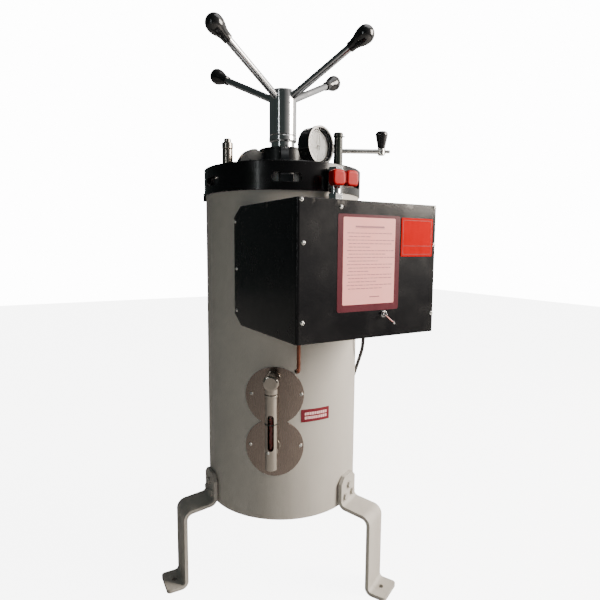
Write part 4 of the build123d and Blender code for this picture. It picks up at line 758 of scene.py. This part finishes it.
rim_radius, rim_top = 0.0354, 10.3 * MM
rim_profile = [
    (rim_radius, dial_level), (rim_radius, rim_top), (0.0340, rim_top), (0.0312, dial_level + 0.2 * MM),
]
rim = bmesh.new()
lathe_into(rim, rim_profile, face_plane, 72)
from_bmesh("gauge_rim", rim, "lid", materials["black_gloss"])
boss_radius, boss_low = 2.6 * MM, 7.4 * MM
boss_profile = [
    (axis_hole, boss_low), (boss_radius, boss_low), (boss_radius, 8.2 * MM), (1.6 * MM, 8.9 * MM),
    (axis_hole, 9 * MM),
]
boss = bmesh.new()
lathe_into(boss, boss_profile, face_plane, 24)
from_bmesh("needle_boss", boss, "needle", materials["zinc_steel"])

# ---------------------------------------------------------------- level gauge detail
level_azimuth, level_reach = -33.5, 0.205
column_middle = outward(level_azimuth, level_reach)
window_middle = body_foot + 0.206
window_plane = standing(column_middle.x, column_middle.y, window_middle)
liquid_radius, liquid_low = 4.6 * MM, -0.05
liquid_profile = [
    (axis_hole, liquid_low), (liquid_radius, liquid_low), (liquid_radius, 0.028), (axis_hole, 0.0278),
]
liquid = bmesh.new()
lathe_into(liquid, liquid_profile, window_plane, 24)
from_bmesh("level_liquid", liquid, "base", red_liquid)
band = bmesh.new()
band_level = 0.017
lathe_into(band, bead(13.1 * MM, 1.7 * MM, height=band_level), window_plane)
from_bmesh("level_band", band, "base", materials["blackened_steel"])
beads = bmesh.new()
for port_height in (body_foot + 0.165, body_foot + 0.308):
    port_plane = facing(level_azimuth, jacket_radius + 1.4 * MM, port_height)
    lathe_into(beads, bead(14.4 * MM, 2.2 * MM), port_plane)
from_bmesh("port_beads", beads, "base", materials["nickel_brass"])
window_screw = bmesh.new()
screw_side = -60.0
column_outside = 12.3 * MM
screw_drop = 0.041
screw_seat = facing(screw_side, column_outside, window_middle - screw_drop)
screw_seat.translation += column_middle
pan_head_into(window_screw, screw_seat, 3.4 * MM, 2.4 * MM, 0.5)
from_bmesh("window_screw", window_screw, "base", materials["zinc_steel"])


# ---------------------------------------------------------------- threads and seams
def thread_into(bm, place, radius, length, pitch, depth):
    """A row of thread crests along a matrix's Z axis."""
    root, axis = radius - depth, 0.2 * MM
    profile = [(root, 0.0)]
    turns = int(length / pitch)
    for turn in range(turns):
        crest = [(radius, pitch * (turn + 0.35)), (radius, pitch * (turn + 0.55))]
        profile += [*crest, (root, pitch * (turn + 0.95))]
    profile += [(axis, turns * pitch), (axis, 0)]
    lathe_into(bm, profile, place, 28)


def jacket_seam():
    """The jacket's lengthwise weld: a low rippled bead down the back."""
    bm = bmesh.new()
    ripples = 460
    half_width = 2.6 * MM
    low, high = body_foot + 4 * MM, body_top - 1 * MM
    across = 6
    rows = []
    for step in range(ripples + 1):
        z = low + (high - low) * step / ripples
        wander = 0.35 * MM * noise.noise(Vector((0, 0, z * 60)))
        row = []
        for column in range(across + 1):
            share = 2 * column / across - 1
            lift = 0.55 * MM * (1 - share * share) * (0.8 + 0.2 * math.sin(step * 1.3))
            azimuth = 180 + math.degrees((share * half_width + wander) / jacket_radius)
            row.append(bm.verts.new(outward(azimuth, jacket_radius - 0.05 * MM + lift, z)))
        rows.append(row)
    for row, following in zip(rows, rows[1:]):
        for column in range(across):
            bm.faces.new((row[column], row[column + 1], following[column + 1], following[column]))
    from_bmesh("jacket_seam", bm, "base", materials["body_paint"])


jacket_seam()

lug = bmesh.new()
lug_azimuth = -109.0
lug_width, lug_height, lug_thickness, lug_corner = 8 * MM, 18 * MM, 6 * MM, 1.6 * MM
lug_place = facing(lug_azimuth, jacket_radius - 0.2 * MM, body_top - 3 * MM)
plate_into(lug, lug_place, 0, 0, lug_width, lug_height, 0, lug_thickness, lug_corner)
from_bmesh("jacket_lug", lug, "base", materials["black_paint"], smooth=False)

rod_low, rod_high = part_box("crank_rod")
rod_azimuth = 62.5
rod_along = outward(rod_azimuth)
rod_middle = (rod_low + rod_high) / 2
tip_length, tip_radius = 11.5 * MM, 4.35 * MM
rod_half, tip_back = 75.0 * MM, 12 * MM
thread_pitch, thread_depth = 1.25 * MM, 0.6 * MM
tip_start = rod_middle + rod_along * (rod_half - tip_back)
rod_across = Vector((math.cos(math.radians(rod_azimuth)), math.sin(math.radians(rod_azimuth)), 0))
rod_thread = bmesh.new()
tip_plane = basis(tip_start, rod_across, Vector((0, 0, 1)), rod_along)
thread_into(rod_thread, tip_plane, tip_radius, tip_length, thread_pitch, thread_depth)
from_bmesh("rod_thread", rod_thread, "crank", materials["zinc_steel"])

# ---------------------------------------------------------------- floor and light
floor_glow = 7.0
floor_mesh = bpy.data.meshes.new("floor")
half = 6.0
floor_corners = [(-half, -half, 0), (half, -half, 0), (half, half, 0), (-half, half, 0)]
floor_mesh.from_pydata(floor_corners, [], [(0, 1, 2, 3)])
floor = bpy.data.objects.new("floor", floor_mesh)
bpy.context.scene.collection.objects.link(floor)
floor_paint = new_material("floor_paint", Roughness=0.7, Emission_Color=(1, 1, 1, 1))
link(floor_paint, ramp(floor_paint, grain(floor_paint, 3, 3), (0.3, 0.42), (0.7, 0.46)), "Base Color")
seen = add(floor_paint, "LightPath").outputs["Is Camera Ray"]
glow = add(floor_paint, "Math", {0: seen, 1: floor_glow}, operation="MULTIPLY").outputs[0]
link(floor_paint, glow, "Emission Strength")
floor_mesh.materials.append(floor_paint)


def area_light(name, place, target, size, power, colour):
    data = bpy.data.lights.new(name, "AREA")
    data.shape = "RECTANGLE"
    data.size, data.size_y = size
    data.energy = power
    data.color = colour
    lamp = bpy.data.objects.new(name, data)
    bpy.context.scene.collection.objects.link(lamp)
    lamp.location = place
    lamp.rotation_euler = (Vector(target) - Vector(place)).to_track_quat("-Z", "Y").to_euler()
    lamp.visible_camera = False


area_light("key", outward(50, 2.5, 1.75), (0, 0, 0.55), (1.2, 1.5), 195, (1.0, 0.90, 0.79))
area_light("strip", outward(-61, 2.3, 1.1), (0, 0, 0.95), (0.07, 1.3), 3.5, (0.95, 1.0, 1.0))
area_light("top", (0.4, -0.5, 2.6), (0, 0, 0.9), (1.2, 1.2), 9, (1.0, 1.0, 1.0))


def studio_world(bright_side, camera_white):
    """White to the camera; for light and reflections a room that brightens towards one side."""
    world = bpy.data.worlds.new("studio")
    world.use_nodes = True
    tree = world.node_tree
    place = tree.nodes.new("ShaderNodeTexCoord")
    along = tree.nodes.new("ShaderNodeVectorMath")
    along.operation = "DOT_PRODUCT"
    along.inputs[1].default_value = bright_side
    tree.links.new(place.outputs["Generated"], along.inputs[0])
    spread = tree.nodes.new("ShaderNodeMapRange")
    spread.inputs["From Min"].default_value = -1.0
    tree.links.new(along.outputs["Value"], spread.inputs["Value"])
    room = tree.nodes.new("ShaderNodeValToRGB")
    tree.links.new(spread.outputs["Result"], room.inputs["Fac"])
    stops = (
        (0.0, (0.037, 0.046, 0.044)),
        (0.45, (0.045, 0.054, 0.052)),
        (0.72, (0.26, 0.25, 0.24)),
        (0.95, (1.2, 1.15, 1.08)),
    )
    elements = room.color_ramp.elements
    while len(elements) < len(stops):
        elements.new(0.5)
    for element, (position, colour) in zip(elements, stops):
        element.position = position
        element.color = (*colour, 1)
    rays = tree.nodes.new("ShaderNodeLightPath")
    strength = tree.nodes.new("ShaderNodeMapRange")
    strength.inputs["To Min"].default_value = 0.0
    strength.inputs["To Max"].default_value = camera_white
    tree.links.new(rays.outputs["Is Camera Ray"], strength.inputs["Value"])
    white = tree.nodes.new("ShaderNodeBackground")
    white.inputs["Color"].default_value = (1, 1, 1, 1)
    tree.links.new(strength.outputs["Result"], white.inputs["Strength"])
    dim = tree.nodes["Background"]
    tree.links.new(room.outputs["Color"], dim.inputs["Color"])
    choice = tree.nodes.new("ShaderNodeMixShader")
    tree.links.new(rays.outputs["Is Camera Ray"], choice.inputs[0])
    tree.links.new(dim.outputs[0], choice.inputs[1])
    tree.links.new(white.outputs[0], choice.inputs[2])
    tree.links.new(choice.outputs[0], tree.nodes["World Output"].inputs["Surface"])
    bpy.context.scene.world = world


studio_world(outward(80, 1.0, 0.1), 14.0)
